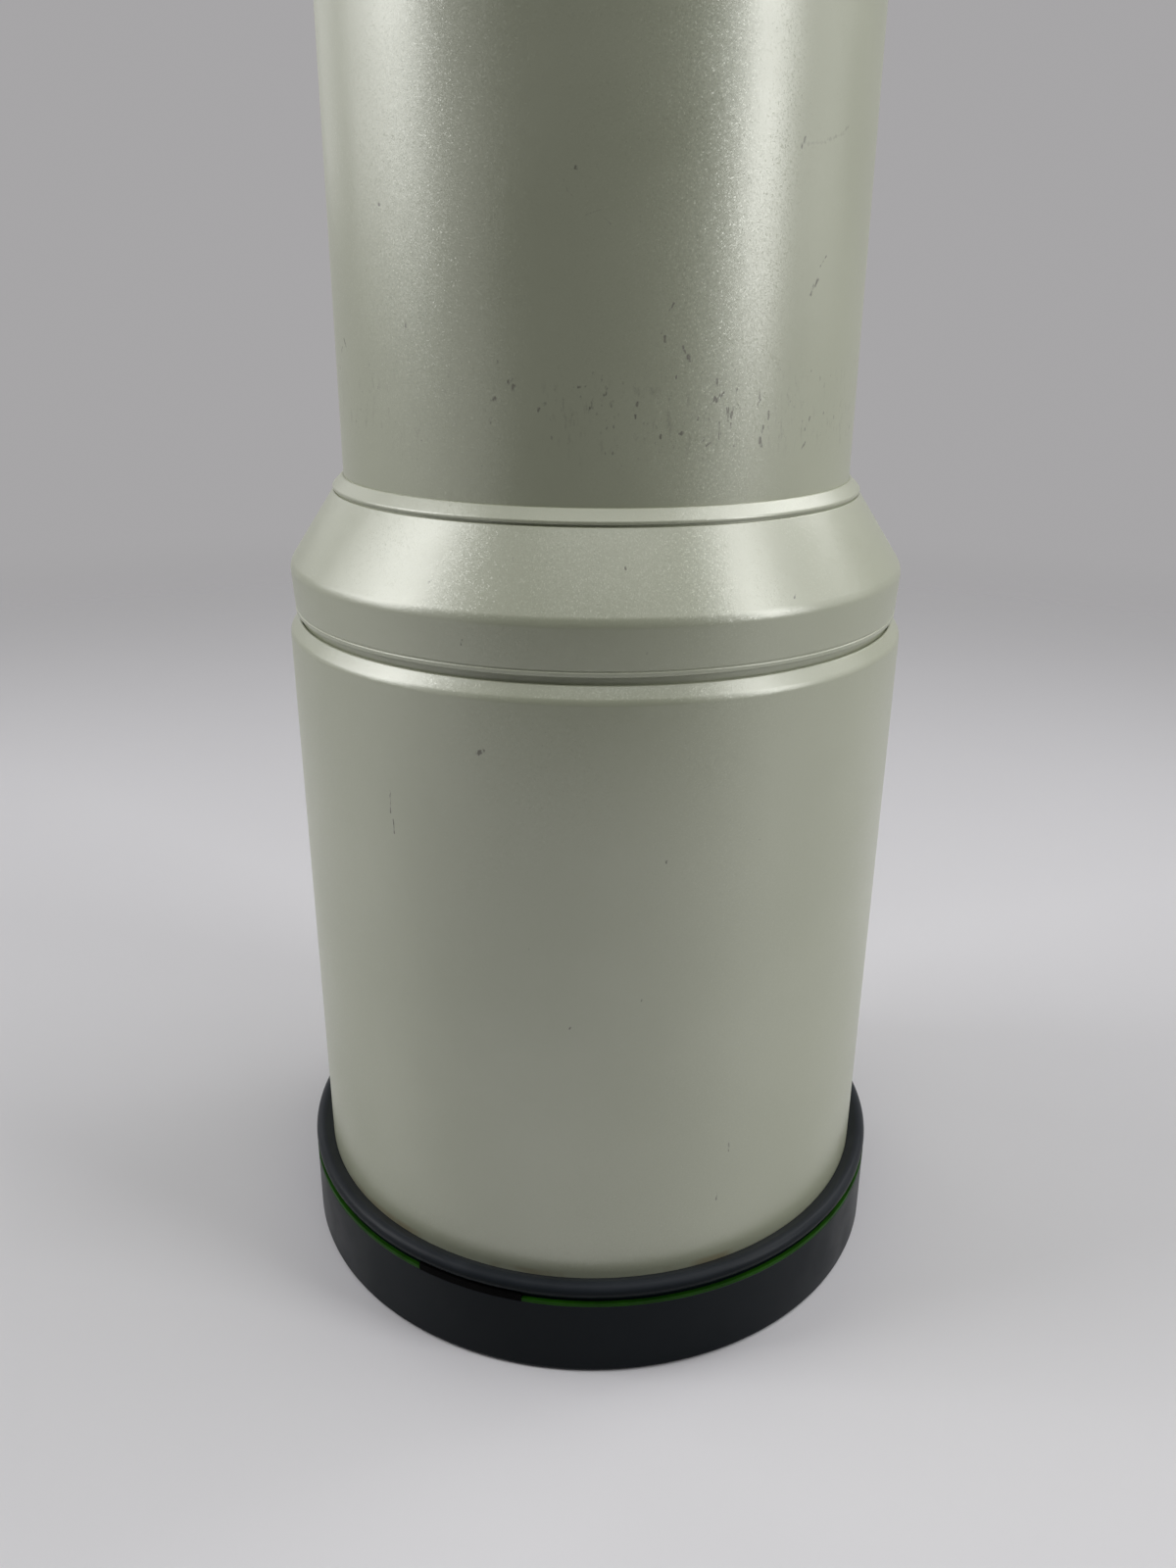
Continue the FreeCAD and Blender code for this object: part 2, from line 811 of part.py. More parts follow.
lug_height = track_end + size.lug_inset
panel_bottom = track_end + size.panel_inset
focus_switch_height = panel_bottom + size.focus_switch_inset
limit_switch_height = panel_bottom + size.limit_switch_inset
cone_start = track_end + size.rear_length
cone_end = cone_start + size.rear_cone_length
rear_end = cone_end + size.rear_neck_length
mount_face = rear_end + size.mount_thickness
bayonet_end = mount_face + size.bayonet_length
iris_bottom = track_end + size.spigot_length
iris_seat = iris_bottom + size.iris_floor
blades_end = iris_seat + size.blade_rise + size.blade_pitch * size.blade_count
control_bottom = blades_end + size.control_gap
control_end = control_bottom + size.control_thickness
drive_height = control_bottom + size.drive_reach
iris_end = control_end + size.iris_end_gap
cell_flange_end = iris_end + size.rear_cell_flange
rear_seat_bottom = cell_flange_end + size.rear_seat_depth
rear_seat_end = rear_seat_bottom + size.rear_seat
sixth_rear = rear_seat_end + size.sixth_glass_edge
seventh_rear = sixth_rear + size.seventh_glass_edge
rear_cell_end = seventh_rear + size.rear_ring_height + size.rear_cell_margin
seventh_front_hollow = size.sixth_rear_bulge + size.rear_pair_gap
lever_arm_height = cone_end + size.lever_arm_inset
lever_tip = bayonet_end - size.lever_tip_drop

# How far a cutter runs past the face that it opens
CUTTER_MARGIN = 1.0


def hood_pieces():
    """The sliding hood: tube, black front ring with its stripe, lining and felt."""
    rim_edge = neck_radius + size.felt_gap
    turned("hood_tube", [
        (hood_bore, size.ring_floor),
        (size.hood_radius, size.ring_floor),
        (size.hood_radius, size.hood_top - size.rim_bevel_height),
        (rim_edge + size.rim_edge, size.hood_top),
        (rim_edge, size.hood_top),
        (rim_edge, size.hood_top - size.rim_lip_height),
        (hood_bore, size.hood_top - size.rim_lip_height),
    ], size.bevel_round, [(size.hood_radius, size.hood_top - size.rim_bevel_height)])
    socket = size.hood_radius + size.seat_gap
    stripe_bore = ring_radius - size.stripe_depth
    stripe_top = stripe_bottom + size.stripe_width
    bead_bottom = stripe_top + size.stripe_groove
    ring = turned_body("hood_front_ring_body", [
        (ring_mouth, 0),
        (ring_radius, 0),
        (ring_radius, stripe_bottom),
        (stripe_bore, stripe_bottom),
        (stripe_bore, bead_bottom),
        (bead_radius, bead_bottom),
        (bead_radius, size.ring_height),
        (socket, size.ring_height),
        (socket, size.ring_floor),
        (ring_mouth, size.ring_floor),
    ])
    round_rims(ring, size.ring_bead_round, [(bead_radius, size.ring_height)])
    round_rims(ring, size.ring_foot_round, [(ring_radius, 0)])
    piece("hood_front_ring", ring)
    stripe = turned_body("hood_stripe_body", ring_outline(
        stripe_bore, ring_radius, stripe_bottom, stripe_top,
    ), as_size(360) - size.plate_angle)
    stripe_start = (size.plate_azimuth + size.plate_angle).value
    stripe.Placement = Placement(Vector(), Rotation(Vector(0, 0, 1), stripe_start))
    piece("hood_stripe", stripe)
    plate = turned_body("hood_stripe_plate_body", ring_outline(
        stripe_bore, ring_radius, stripe_bottom, bead_bottom,
    ), size.plate_angle)
    plate.Placement = Placement(Vector(), Rotation(Vector(0, 0, 1), size.plate_azimuth.value))
    piece("hood_stripe_plate", plate)
    turned("hood_lining", ring_outline(lining_bore, hood_bore, size.ring_floor, felt_bottom))
    felt_bore = barrel_radius + size.felt_gap
    turned("hood_felt_ring", ring_outline(felt_bore, hood_bore, felt_bottom, neck_bottom))


def front_pieces():
    """The front barrel that the hood slides on, and the three front elements in it."""
    groove_floor = barrel_radius - size.slide_felt_groove
    felt_end = slide_felt_bottom + size.felt_length
    glass_bore = front_glass_radius + size.seat_gap
    turned("front_barrel", [
        (thread_radius, barrel_front),
        (barrel_radius, barrel_front),
        (barrel_radius, slide_felt_bottom),
        (groove_floor, slide_felt_bottom),
        (groove_floor, felt_end),
        (barrel_radius, felt_end),
        (barrel_radius, barrel_seat),
        (barrel_radius - size.barrel_wall, barrel_seat),
        (barrel_radius - size.barrel_wall, stack_end + size.seat_flange),
        (front_clear_radius, stack_end + size.seat_flange),
        (front_clear_radius, stack_end),
        (glass_bore, stack_end),
        (glass_bore, bezel_step),
        (bezel_radius + size.seat_gap, bezel_step),
        (bezel_radius + size.seat_gap, thread_end),
        (thread_radius, thread_end),
    ])
    turned("barrel_slide_felt", ring_outline(
        groove_floor, lining_bore - size.felt_gap, slide_felt_bottom, felt_end,
    ))
    turned("front_bezel", [
        (front_clear_radius, glass_seat),
        (front_glass_radius, glass_seat),
        (front_glass_radius, bezel_step),
        (bezel_radius, bezel_step),
        (bezel_radius, thread_end),
        (bezel_radius - size.bezel_lip, thread_end),
    ])
    turned("first_element", lens_outline(
        front_glass_radius, front_clear_radius, glass_seat, size.first_glass_edge,
        size.first_front_bulge, size.first_rear_bulge,
    ))
    turned("front_glass_spacer", ring_outline(
        front_clear_radius, front_glass_radius, first_rear, second_front,
    ))
    turned("second_element", lens_outline(
        front_glass_radius, front_clear_radius, second_front, size.second_glass_edge,
        size.second_front_bulge, -size.second_rear_hollow,
    ))
    turned("third_element", lens_outline(
        front_glass_radius, front_clear_radius, third_front, size.third_glass_edge,
        third_front_bulge, -size.third_rear_hollow,
    ))


def tube_pieces():
    """The flare, its collar, the main tube and the rings inside it that stop stray light."""
    tube_seat_bore = size.tube_radius + size.seat_gap
    barrel_seat_bore = barrel_radius + size.seat_gap
    turned("flare_casing", [
        (barrel_seat_bore, neck_bottom),
        (neck_radius, neck_bottom),
        (neck_radius, band_bottom),
        (band_radius, band_bottom),
        (flare_radius, flare_edge),
        (flare_top_radius, flare_top),
        (tube_seat_bore, flare_top),
        (tube_seat_bore, tube_seat),
        (tube_bore, tube_seat),
        (tube_bore, barrel_seat),
        (barrel_seat_bore, barrel_seat),
    ], size.flare_round, [(flare_radius, flare_edge)])
    seam_top = flare_top + size.seam_width
    turned("tube_collar", [
        (tube_seat_bore, flare_top),
        (flare_top_radius - size.seam_depth, flare_top),
        (flare_top_radius - size.seam_depth, seam_top),
        (flare_top_radius, seam_top),
        (flare_top_radius, seam_top + size.collar_land),
        (tube_seat_bore + size.collar_top_step, collar_top),
        (tube_seat_bore, collar_top),
    ])
    turned("main_tube", [
        (tube_bore, tube_seat),
        (size.tube_radius, tube_seat),
        (size.tube_radius, tube_end),
        (guide_radius + size.seat_gap, tube_end),
        (guide_radius + size.seat_gap, bulkhead_front),
        (tube_bore, bulkhead_front),
    ])
    baffles = []
    for number in range(int(size.baffle_count.value)):
        low = baffle_first + size.baffle_pitch * number
        mouth = baffle_mouth_first - size.baffle_mouth_step * number
        baffles.append(turned_body("baffle_%d" % (number + 1), ring_outline(
            mouth, tube_bore - size.seat_gap, low, low + size.baffle_thickness,
        )))
    piece("tube_baffles", group("baffle_set", baffles))


def focus_pieces():
    """The focus ring with its rubber grip and cam tube, and the cell that the cam moves."""
    guide = turned_body("guide_tube_body", [
        (guide_bore, bulkhead_front),
        (guide_radius, bulkhead_front),
        (guide_radius, guide_end - size.guide_flange),
        (guide_flange_radius, guide_end - size.guide_flange),
        (guide_flange_radius, guide_end),
        (guide_bore, guide_end),
    ])
    slot_low = follower_height - follower_fit
    slot_high = follower_height + size.focus_travel + follower_fit
    cut_pattern(guide, "guide_slot", "YZ_Plane", rectangle(
        -follower_fit, follower_fit, slot_low, slot_high,
    ), guide_flange_radius, size.follower_count, reverse=True)
    piece("focus_guide_tube", guide)
    piece("focus_cam_tube", cam_tube())
    web_top = web_bottom + size.focus_web
    web_bore = cam_radius + size.seat_gap
    turned("focus_ring", [
        (sleeve_bore, sleeve_start),
        (focus_radius, sleeve_start),
        (focus_radius, sleeve_end),
        (sleeve_bore, sleeve_end),
        (sleeve_bore, web_top),
        (web_bore, web_top),
        (web_bore, web_bottom),
        (sleeve_bore, web_bottom),
    ])
    piece("focus_grip", focus_grip())
    focus_cell_pieces()


def cam_tube():
    """The tube that turns with the focus ring. Its three slots climb as they go round."""
    cam = turned_body("cam_tube_body", ring_outline(cam_bore, cam_radius, cam_bottom, cam_top))
    run_out = follower_fit / cam_bore * (180 / math.pi) + size.follower_run_out
    rise_per_degree = size.focus_travel / size.focus_throw
    start = follower_height - run_out * rise_per_degree
    sketch = new_sketch(cam, "cam_slot_sketch", "XZ_Plane")
    draw_outline(sketch, rectangle(
        cam_bore - CUTTER_MARGIN, cam_radius + CUTTER_MARGIN,
        start - follower_fit, start + follower_fit,
    ))
    slot = cam.newObject("PartDesign::SubtractiveHelix", "cam_slot")
    slot.Profile = (sketch, [""])
    slot.ReferenceAxis = (sketch, ["V_Axis"])
    slot.Mode = "pitch-turns-angle"
    slot.LeftHanded = True
    slot.setExpression("Pitch", (rise_per_degree * 360).formula)
    slot.setExpression("Turns", ((size.focus_throw + run_out * 2) / 360).formula)
    doc.recompute()
    repeat_round_axis(cam, "cam_slot_pattern", slot, size.follower_count)
    cam.Placement = Placement(Vector(), Rotation(Vector(0, 0, 1), run_out.value))
    return cam


def focus_grip():
    """The rubber sleeve of the focus ring, with ribs along it."""
    grip_radius = focus_radius + size.grip_thickness
    grip = turned_body("focus_grip_body", ring_outline(
        focus_radius, grip_radius, grip_bottom, grip_bottom + size.grip_length,
    ))
    half_groove = size.rib_groove / 2
    cut_pattern(grip, "rib_groove", "XY_Plane", rectangle(
        grip_radius - size.rib_depth, grip_radius + CUTTER_MARGIN, -half_groove, half_groove,
    ), size.grip_length - size.grip_land * 2, size.rib_count,
        offset=grip_bottom + size.grip_land, reverse=True)
    return grip


def focus_cell_pieces():
    """The moving cell, its two elements, their ring and the three cam followers."""
    glass_front = cell_bottom + size.cell_lip
    glass_radius = focus_cell_bore - size.seat_gap
    clear_radius = focus_cell_bore - size.glass_rim
    cell = turned_body("focus_cell_body", [
        (clear_radius, cell_bottom),
        (focus_cell_radius, cell_bottom),
        (focus_cell_radius, cell_bottom + size.cell_length),
        (focus_cell_bore, cell_bottom + size.cell_length),
        (focus_cell_bore, glass_front),
        (clear_radius, glass_front),
    ])
    drill(cell, "follower_hole", "YZ_Plane", (0, follower_height), size.follower_radius,
          focus_cell_radius, size.follower_count, offset=follower_root, reverse=True)
    piece("focus_cell", cell)
    fourth_rear = glass_front + size.fourth_glass_edge
    fifth_rear = fourth_rear + size.fifth_glass_edge
    turned("fourth_element", lens_outline(
        glass_radius, clear_radius, glass_front, size.fourth_glass_edge,
        size.fourth_bulge, size.fourth_rear_bulge,
    ))
    turned("fifth_element", lens_outline(
        glass_radius, clear_radius, fourth_rear, size.fifth_glass_edge,
        -fifth_front_hollow, size.fifth_rear_bulge,
    ))
    turned("focus_cell_ring", ring_outline(
        clear_radius, glass_radius, fifth_rear, fifth_rear + size.cell_ring_height,
    ))
    followers = []
    reach = cam_radius - follower_root - size.follower_tip_gap
    count = int(size.follower_count.value)
    for number in range(count):
        azimuth = 360.0 / count * number
        pin = cylinder("follower_%d" % (number + 1), size.follower_radius, reach)
        across, deep = polar_spot(follower_root, azimuth)
        followers.append(place(pin, across, deep, follower_height, radial(azimuth)))
    piece("cam_followers", group("follower_set", followers))


def middle_pieces():
    """The middle barrel with the track of the tripod collar, and its four focus buttons."""
    middle = turned_body("middle_barrel_body", [
        (middle_bore, guide_end),
        (focus_radius, guide_end),
        (focus_radius, land_end),
        (track_radius, land_end),
        (track_radius, track_end + size.spigot_length),
        (middle_bore, track_end + size.spigot_length),
    ])
    well_floor = focus_radius - size.button_well
    drill(middle, "button_well", "YZ_Plane", (0, button_height),
          size.button_radius + size.button_gap, focus_radius, size.button_count,
          offset=well_floor, reverse=True)
    count = int(size.button_count.value)
    first_azimuth = 180.0 / count
    middle.Placement = Placement(Vector(), Rotation(Vector(0, 0, 1), first_azimuth))
    piece("middle_barrel", middle)
    button_foot = well_floor + size.button_floor_gap + size.button_travel
    height = focus_radius + size.button_proud - button_foot
    for number in range(count):
        azimuth = first_azimuth + 360.0 / count * number
        button = turned_body("button_%d_body" % (number + 1), [
            (0, 0),
            (size.button_radius, 0),
            (size.button_radius, height - size.button_edge),
            (size.button_radius - size.button_edge, height),
            (0, height - size.button_dish),
        ])
        across, deep = polar_spot(button_foot, azimuth)
        place(button, across, deep, button_height, radial(azimuth))
        piece("focus_button_%d" % (number + 1), button)


def clamp_pieces():
    """The tripod collar that turns on the middle barrel, with its knob, foot and screws."""
    ring = turned_body("clamp_ring_body", ring_outline(
        clamp_bore, clamp_radius, clamp_start, clamp_end,
    ))
    round_rims(ring, size.clamp_round, [
        (clamp_radius, clamp_start), (clamp_radius, clamp_end),
    ])
    boss_root = (clamp_radius + clamp_bore) / 2
    boss = block("foot_boss", size.boss_width, boss_face - boss_root, size.boss_length)
    place(boss, -size.boss_width / 2, boss_root, clamp_middle - size.boss_length / 2)
    knob_boss = cylinder("knob_boss", size.knob_boss_radius, knob_boss_face - boss_root)
    place(knob_boss, -boss_root, 0, clamp_middle, ALONG_MINUS_X)
    knob_bore = cylinder("knob_bore", size.knob_stem_radius + size.knob_stem_gap, knob_boss_face)
    place(knob_bore, -clamp_bore + CUTTER_MARGIN, 0, clamp_middle, ALONG_MINUS_X)
    screw_holes = []
    for number, (across, up) in enumerate(foot_screw_spots(), 1):
        hole = cylinder("boss_hole_%d" % number, size.foot_screw_radius + size.screw_gap,
                        size.foot_screw_length)
        start = boss_face + size.foot_flange - size.foot_screw_length - size.foot_screw_tip_gap
        screw_holes.append(place(hole, across, start, up, ALONG_Y))
    body = fused("clamp_solid", [ring, boss, knob_boss])
    piece("tripod_collar", cut("clamp_bored", body, [knob_bore] + screw_holes))
    piece("collar_foot", collar_foot())
    screws = []
    for number, (across, up) in enumerate(foot_screw_spots(), 1):
        screws.append(foot_screw("foot_screw_%d" % number, across, up))
    piece("foot_screws", group("foot_screw_set", screws))
    piece("clamp_knob", clamp_knob())


def foot_screw_spots():
    """Where the four screws of the foot stand, as (x, z)."""
    return [(foot_screw_x * side, clamp_middle + foot_screw_z * end)
            for side in (-1, 1) for end in (-1, 1)]


def foot_screw(name, across, up):
    """One socket-head screw of the foot."""
    head_top = size.foot_screw_length + size.foot_screw_head_height
    screw = turned_body(name, [
        (0, 0),
        (size.foot_screw_radius, 0),
        (size.foot_screw_radius, size.foot_screw_length),
        (size.foot_screw_head, size.foot_screw_length),
        (size.foot_screw_head, head_top),
        (size.foot_socket_radius, head_top),
        (size.foot_socket_radius, head_top - size.foot_socket_depth),
        (0, head_top - size.foot_socket_depth),
    ])
    tip = boss_face + size.foot_flange - size.foot_screw_length
    return place(screw, across, tip, up, ALONG_Y)


def collar_foot():
    """The foot: a flange that meets the collar, a neck and a plate with two tripod threads."""
    foot = doc.addObject("PartDesign::Body", "collar_foot_body")
    half_width = size.foot_width / 2
    plate_top = foot_face - size.foot_plate
    add_pad(foot, "foot_plate_pad", "XZ_Plane", rectangle(
        -half_width, half_width, foot_bottom, foot_top,
    ), size.foot_plate, offset=-plate_top, reverse=True)
    ends = (foot_bottom.value, foot_top.value)

    def plate_corner(middle):
        at_side = abs(abs(middle.x) - half_width.value) < 1e-6
        return at_side and min(abs(middle.z - end) for end in ends) < 1e-6

    round_edges(foot, size.foot_corner, plate_corner)
    half_neck = size.foot_neck_width / 2
    neck_start = boss_face + size.foot_flange
    add_pad(foot, "foot_neck_pad", "XZ_Plane", rectangle(
        -half_neck, half_neck,
        clamp_middle - size.foot_neck_length / 2, clamp_middle + size.foot_neck_length / 2,
    ), plate_top - neck_start, offset=-neck_start, reverse=True)
    half_boss = size.boss_width / 2
    add_pad(foot, "foot_flange_pad", "XZ_Plane", rectangle(
        -half_boss, half_boss,
        clamp_middle - size.boss_length / 2, clamp_middle + size.boss_length / 2,
    ), size.foot_flange, offset=-boss_face, reverse=True)
    for number, (across, up) in enumerate(foot_screw_spots(), 1):
        drill(foot, "flange_hole_%d" % number, "XZ_Plane", (across, up),
              size.foot_screw_radius + size.screw_gap, size.foot_flange,
              offset=-boss_face)
    drill(foot, "big_thread", "XZ_Plane", (0, big_thread_height), size.big_thread_radius,
          size.thread_depth, offset=-foot_face, reverse=True)
    drill(foot, "small_thread", "XZ_Plane", (0, small_thread_height), size.small_thread_radius,
          size.thread_depth, offset=-foot_face, reverse=True)
    return foot


def clamp_knob():
    """The knob that clamps the collar: a stem and a fluted head."""
    tip = track_radius + size.knob_tip_gap
    stem = knob_boss_face + size.knob_face_gap - tip
    end = stem + size.knob_length
    knob = turned_body("clamp_knob_body", [
        (0, 0),
        (size.knob_stem_radius, 0),
        (size.knob_stem_radius, stem),
        (size.knob_radius, stem),
        (size.knob_radius, end),
        (0, end),
    ])
    round_rims(knob, size.knob_round, [(size.knob_radius, end)])
    drill(knob, "knob_flute", "XY_Plane", (size.knob_radius + size.knob_flute_out, 0),
          size.knob_flute_radius, size.knob_length, size.knob_flutes, offset=stem, reverse=True)
    return place(knob, -tip, 0, clamp_middle, ALONG_MINUS_X)


def rear_pieces():
    """The rear barrel, its strap lugs and the switch panel with its two switches."""
    neck_bore = rear_neck_radius - size.rear_neck_wall
    inner_wall = size.rear_wall + size.rear_step
    spigot_bore = track_radius + size.seat_gap
    rear = turned_body("rear_barrel_body", [
        (spigot_bore, track_end),
        (rear_radius, track_end),
        (rear_radius, cone_start),
        (rear_neck_radius, cone_end),
        (rear_neck_radius, rear_end),
        (rear_mouth, rear_end),
        (rear_mouth, rear_end - size.rear_bulkhead),
        (neck_bore, rear_end - size.rear_bulkhead),
        (neck_bore, cone_end - size.rear_cone_shift),
        (rear_radius - inner_wall, cone_start - size.rear_cone_shift),
        (rear_radius - inner_wall, cell_flange_end),
        (rear_bore, cell_flange_end),
        (rear_bore, iris_bottom),
        (spigot_bore, iris_bottom),
    ])
    panel_end = panel_bottom + size.panel_length
    half_panel = size.panel_width / 2 + size.panel_gap
    cut_pattern(rear, "panel_seat", "YZ_Plane", rectangle(
        -half_panel, half_panel, panel_bottom - size.panel_gap, panel_end + size.panel_gap,
    ), rear_radius, None, offset=panel_floor, reverse=True)
    drill(rear, "mount_screw_hole", "XY_Plane", (screw_circle, 0),
          size.mount_screw_radius + size.screw_gap, size.rear_bulkhead * 2, size.mount_screw_count,
          offset=rear_end)
    piece("rear_barrel", rear)
    lugs = [strap_lug("strap_lug_%s" % side, -90 + size.lug_azimuth.value * turn)
            for side, turn in (("left", 1), ("right", -1))]
    piece("strap_lugs", group("strap_lug_set", lugs))
    piece("switch_panel", switch_panel(panel_end))
    for name, height in (("focus_mode_switch", focus_switch_height),
                         ("focus_limit_switch", limit_switch_height)):
        piece(name, switch_knob(name + "_body", height))


def strap_lug(name, azimuth):
    """A flat eye for the strap, standing out of the rear barrel."""
    lug = doc.addObject("PartDesign::Body", name)
    half_thickness = size.lug_thickness / 2
    reach = rear_radius + size.lug_reach
    add_pad(lug, name + "_pad", "XZ_Plane", rectangle(
        rear_radius, reach,
        lug_height - size.lug_width / 2, lug_height + size.lug_width / 2,
    ), size.lug_thickness, offset=-half_thickness)
    eye = rear_radius + size.lug_hole_reach
    drill(lug, name + "_eye", "XZ_Plane", (eye, lug_height), size.lug_hole_radius,
          size.lug_thickness * 2, offset=size.lug_thickness)
    lug.Placement = Placement(Vector(), Rotation(Vector(0, 0, 1), azimuth))
    return lug


def switch_panel(panel_end):
    """The raised panel of the two switches, with a well for each."""
    panel = doc.addObject("PartDesign::Body", "switch_panel_body")
    half_width = size.panel_width / 2
    add_pad(panel, "panel_pad", "YZ_Plane", rectangle(
        -half_width, half_width, panel_bottom, panel_end,
    ), panel_face - panel_floor, offset=panel_floor)
    above_floor = panel_floor.value + CUTTER_MARGIN / 10
    round_edges(panel, size.panel_round, lambda middle: middle.x > above_floor)
    half_switch = size.switch_width / 2 + size.switch_gap
    half_length = size.switch_length / 2 + size.switch_gap
    for name, height, travel in (
        ("focus_well", focus_switch_height, size.focus_switch_travel),
        ("limit_well", limit_switch_height, size.limit_switch_travel),
    ):
        cut_pattern(panel, name, "YZ_Plane", rectangle(
            -half_switch, half_switch, height - half_length, height + half_length + travel,
        ), size.switch_well, None, offset=panel_face)
    return panel


def switch_knob(name, height):
    """A sliding switch knob that stands in its well of the panel."""
    knob = doc.addObject("PartDesign::Body", name)
    half_width = size.switch_width / 2
    half_length = size.switch_length / 2
    low = panel_face - size.switch_well + size.switch_gap
    high = panel_face + size.switch_proud
    add_pad(knob, name + "_pad", "YZ_Plane", rectangle(
        -half_width, half_width, height - half_length, height + half_length,
    ), high - low, offset=low)
    top = high.value
    round_edges(knob, size.switch_round, lambda middle: abs(middle.x - top) < 1e-6)
    return knob


def iris_pieces():
    """The aperture unit: housing, blades, control ring and the lever to the camera."""
    housing = turned_body("iris_housing_body", [
        (iris_mouth, iris_bottom),
        (rear_bore - size.seat_gap, iris_bottom),
        (rear_bore - size.seat_gap, iris_end),
        (rear_bore - size.iris_wall, iris_end),
        (rear_bore - size.iris_wall, iris_seat),
        (iris_mouth, iris_seat),
    ])
    drill(housing, "pivot_hole", "XY_Plane", (pivot_radius, 0), size.pivot_pin + size.pivot_gap,
          size.iris_floor * 2, size.blade_count, offset=iris_seat)
    piece("iris_housing", housing)
    for number in range(int(size.blade_count.value)):
        piece("iris_blade_%d" % (number + 1), iris_blade(number))
    ring = turned_body("iris_ring_body", ring_outline(
        control_inner, control_radius, control_bottom, control_end,
    ))
    slot_half = size.pivot_pin + size.drive_gap
    cut_pattern(ring, "drive_slot", "XY_Plane", rectangle(
        drive_slot_inner - slot_half, drive_radius + slot_half, -slot_half, slot_half,
    ), size.control_thickness, size.blade_count, offset=control_bottom, reverse=True)
    piece("iris_ring", ring)
    piece("aperture_lever", aperture_lever())


def iris_blade(number):
    """One aperture blade: a curved leaf, an arm, a pivot pin below and a drive pin above."""
    name = "blade_%d_" % (number + 1)
    azimuth = 360.0 / size.blade_count.value * number
    turn = Rotation(Vector(0, 0, 1), azimuth)
    low = iris_seat + size.blade_rise + size.blade_pitch * number
    high = low + size.blade_thickness
    sweep = size.blade_sweep + size.blade_root_angle
    leaf_turn = Rotation(Vector(0, 0, 1), azimuth - size.blade_sweep.value)
    outer = place(cylinder(name + "outer", blade_outer, size.blade_thickness, sweep), z=low)
    outer.Placement.Rotation = leaf_turn
    inner = place(cylinder(name + "inner", blade_inner, size.blade_thickness * 3),
                  z=low - size.blade_thickness)
    leaf = cut(name + "leaf", outer, [inner])
    arm_length = drive_radius - blade_outer + size.blade_arm_width
    arm = block(name + "arm", arm_length, size.blade_arm_width, size.blade_thickness)
    arm_root = blade_outer - size.blade_arm_width
    along_x, along_y = polar_spot(arm_root, azimuth)
    aside_x, aside_y = polar_spot(size.blade_arm_width / 2, azimuth - 90)
    place(arm, along_x + aside_x, along_y + aside_y, low, turn)
    tip = cylinder(name + "tip", size.blade_arm_width / 2, size.blade_thickness)
    drive_x, drive_y = polar_spot(drive_radius, azimuth)
    place(tip, drive_x, drive_y, low)
    pivot_x, pivot_y = polar_spot(pivot_radius, azimuth)
    pivot_foot = iris_bottom + size.pivot_gap
    pivot = cylinder(name + "pivot", size.pivot_pin, high - pivot_foot)
    place(pivot, pivot_x, pivot_y, pivot_foot)
    drive = cylinder(name + "drive", size.pivot_pin, drive_height - low)
    place(drive, drive_x, drive_y, low)
    return fused(name + "whole", [leaf, arm, tip, pivot, drive])


def aperture_lever():
    """The lever that the camera moves: a rod from the control ring, an arm and a tab."""
    azimuth = size.lever_azimuth.value
    turn = Rotation(Vector(0, 0, 1), azimuth)
    arm_top = lever_arm_height + size.lever_arm_thickness
    rod = cylinder("lever_rod_solid", size.lever_rod, arm_top - control_end)
    rod_x, rod_y = polar_spot(lever_radius, azimuth)
    place(rod, rod_x, rod_y, control_end)
    half_tab = size.lever_tab_thickness / 2
    arm_root = lever_tab_radius - half_tab
    arm = block("lever_arm", lever_radius - arm_root, size.lever_arm_width, size.lever_arm_thickness)
    along_x, along_y = polar_spot(arm_root, azimuth)
    aside_x, aside_y = polar_spot(size.lever_arm_width / 2, azimuth - 90)
    place(arm, along_x + aside_x, along_y + aside_y, lever_arm_height, turn)
    tab = block("lever_tab", size.lever_tab_thickness, size.lever_arm_width,
                lever_tip - lever_arm_height)
    place(tab, along_x + aside_x, along_y + aside_y, lever_arm_height, turn)
    return fused("lever_whole", [rod, arm, tab])


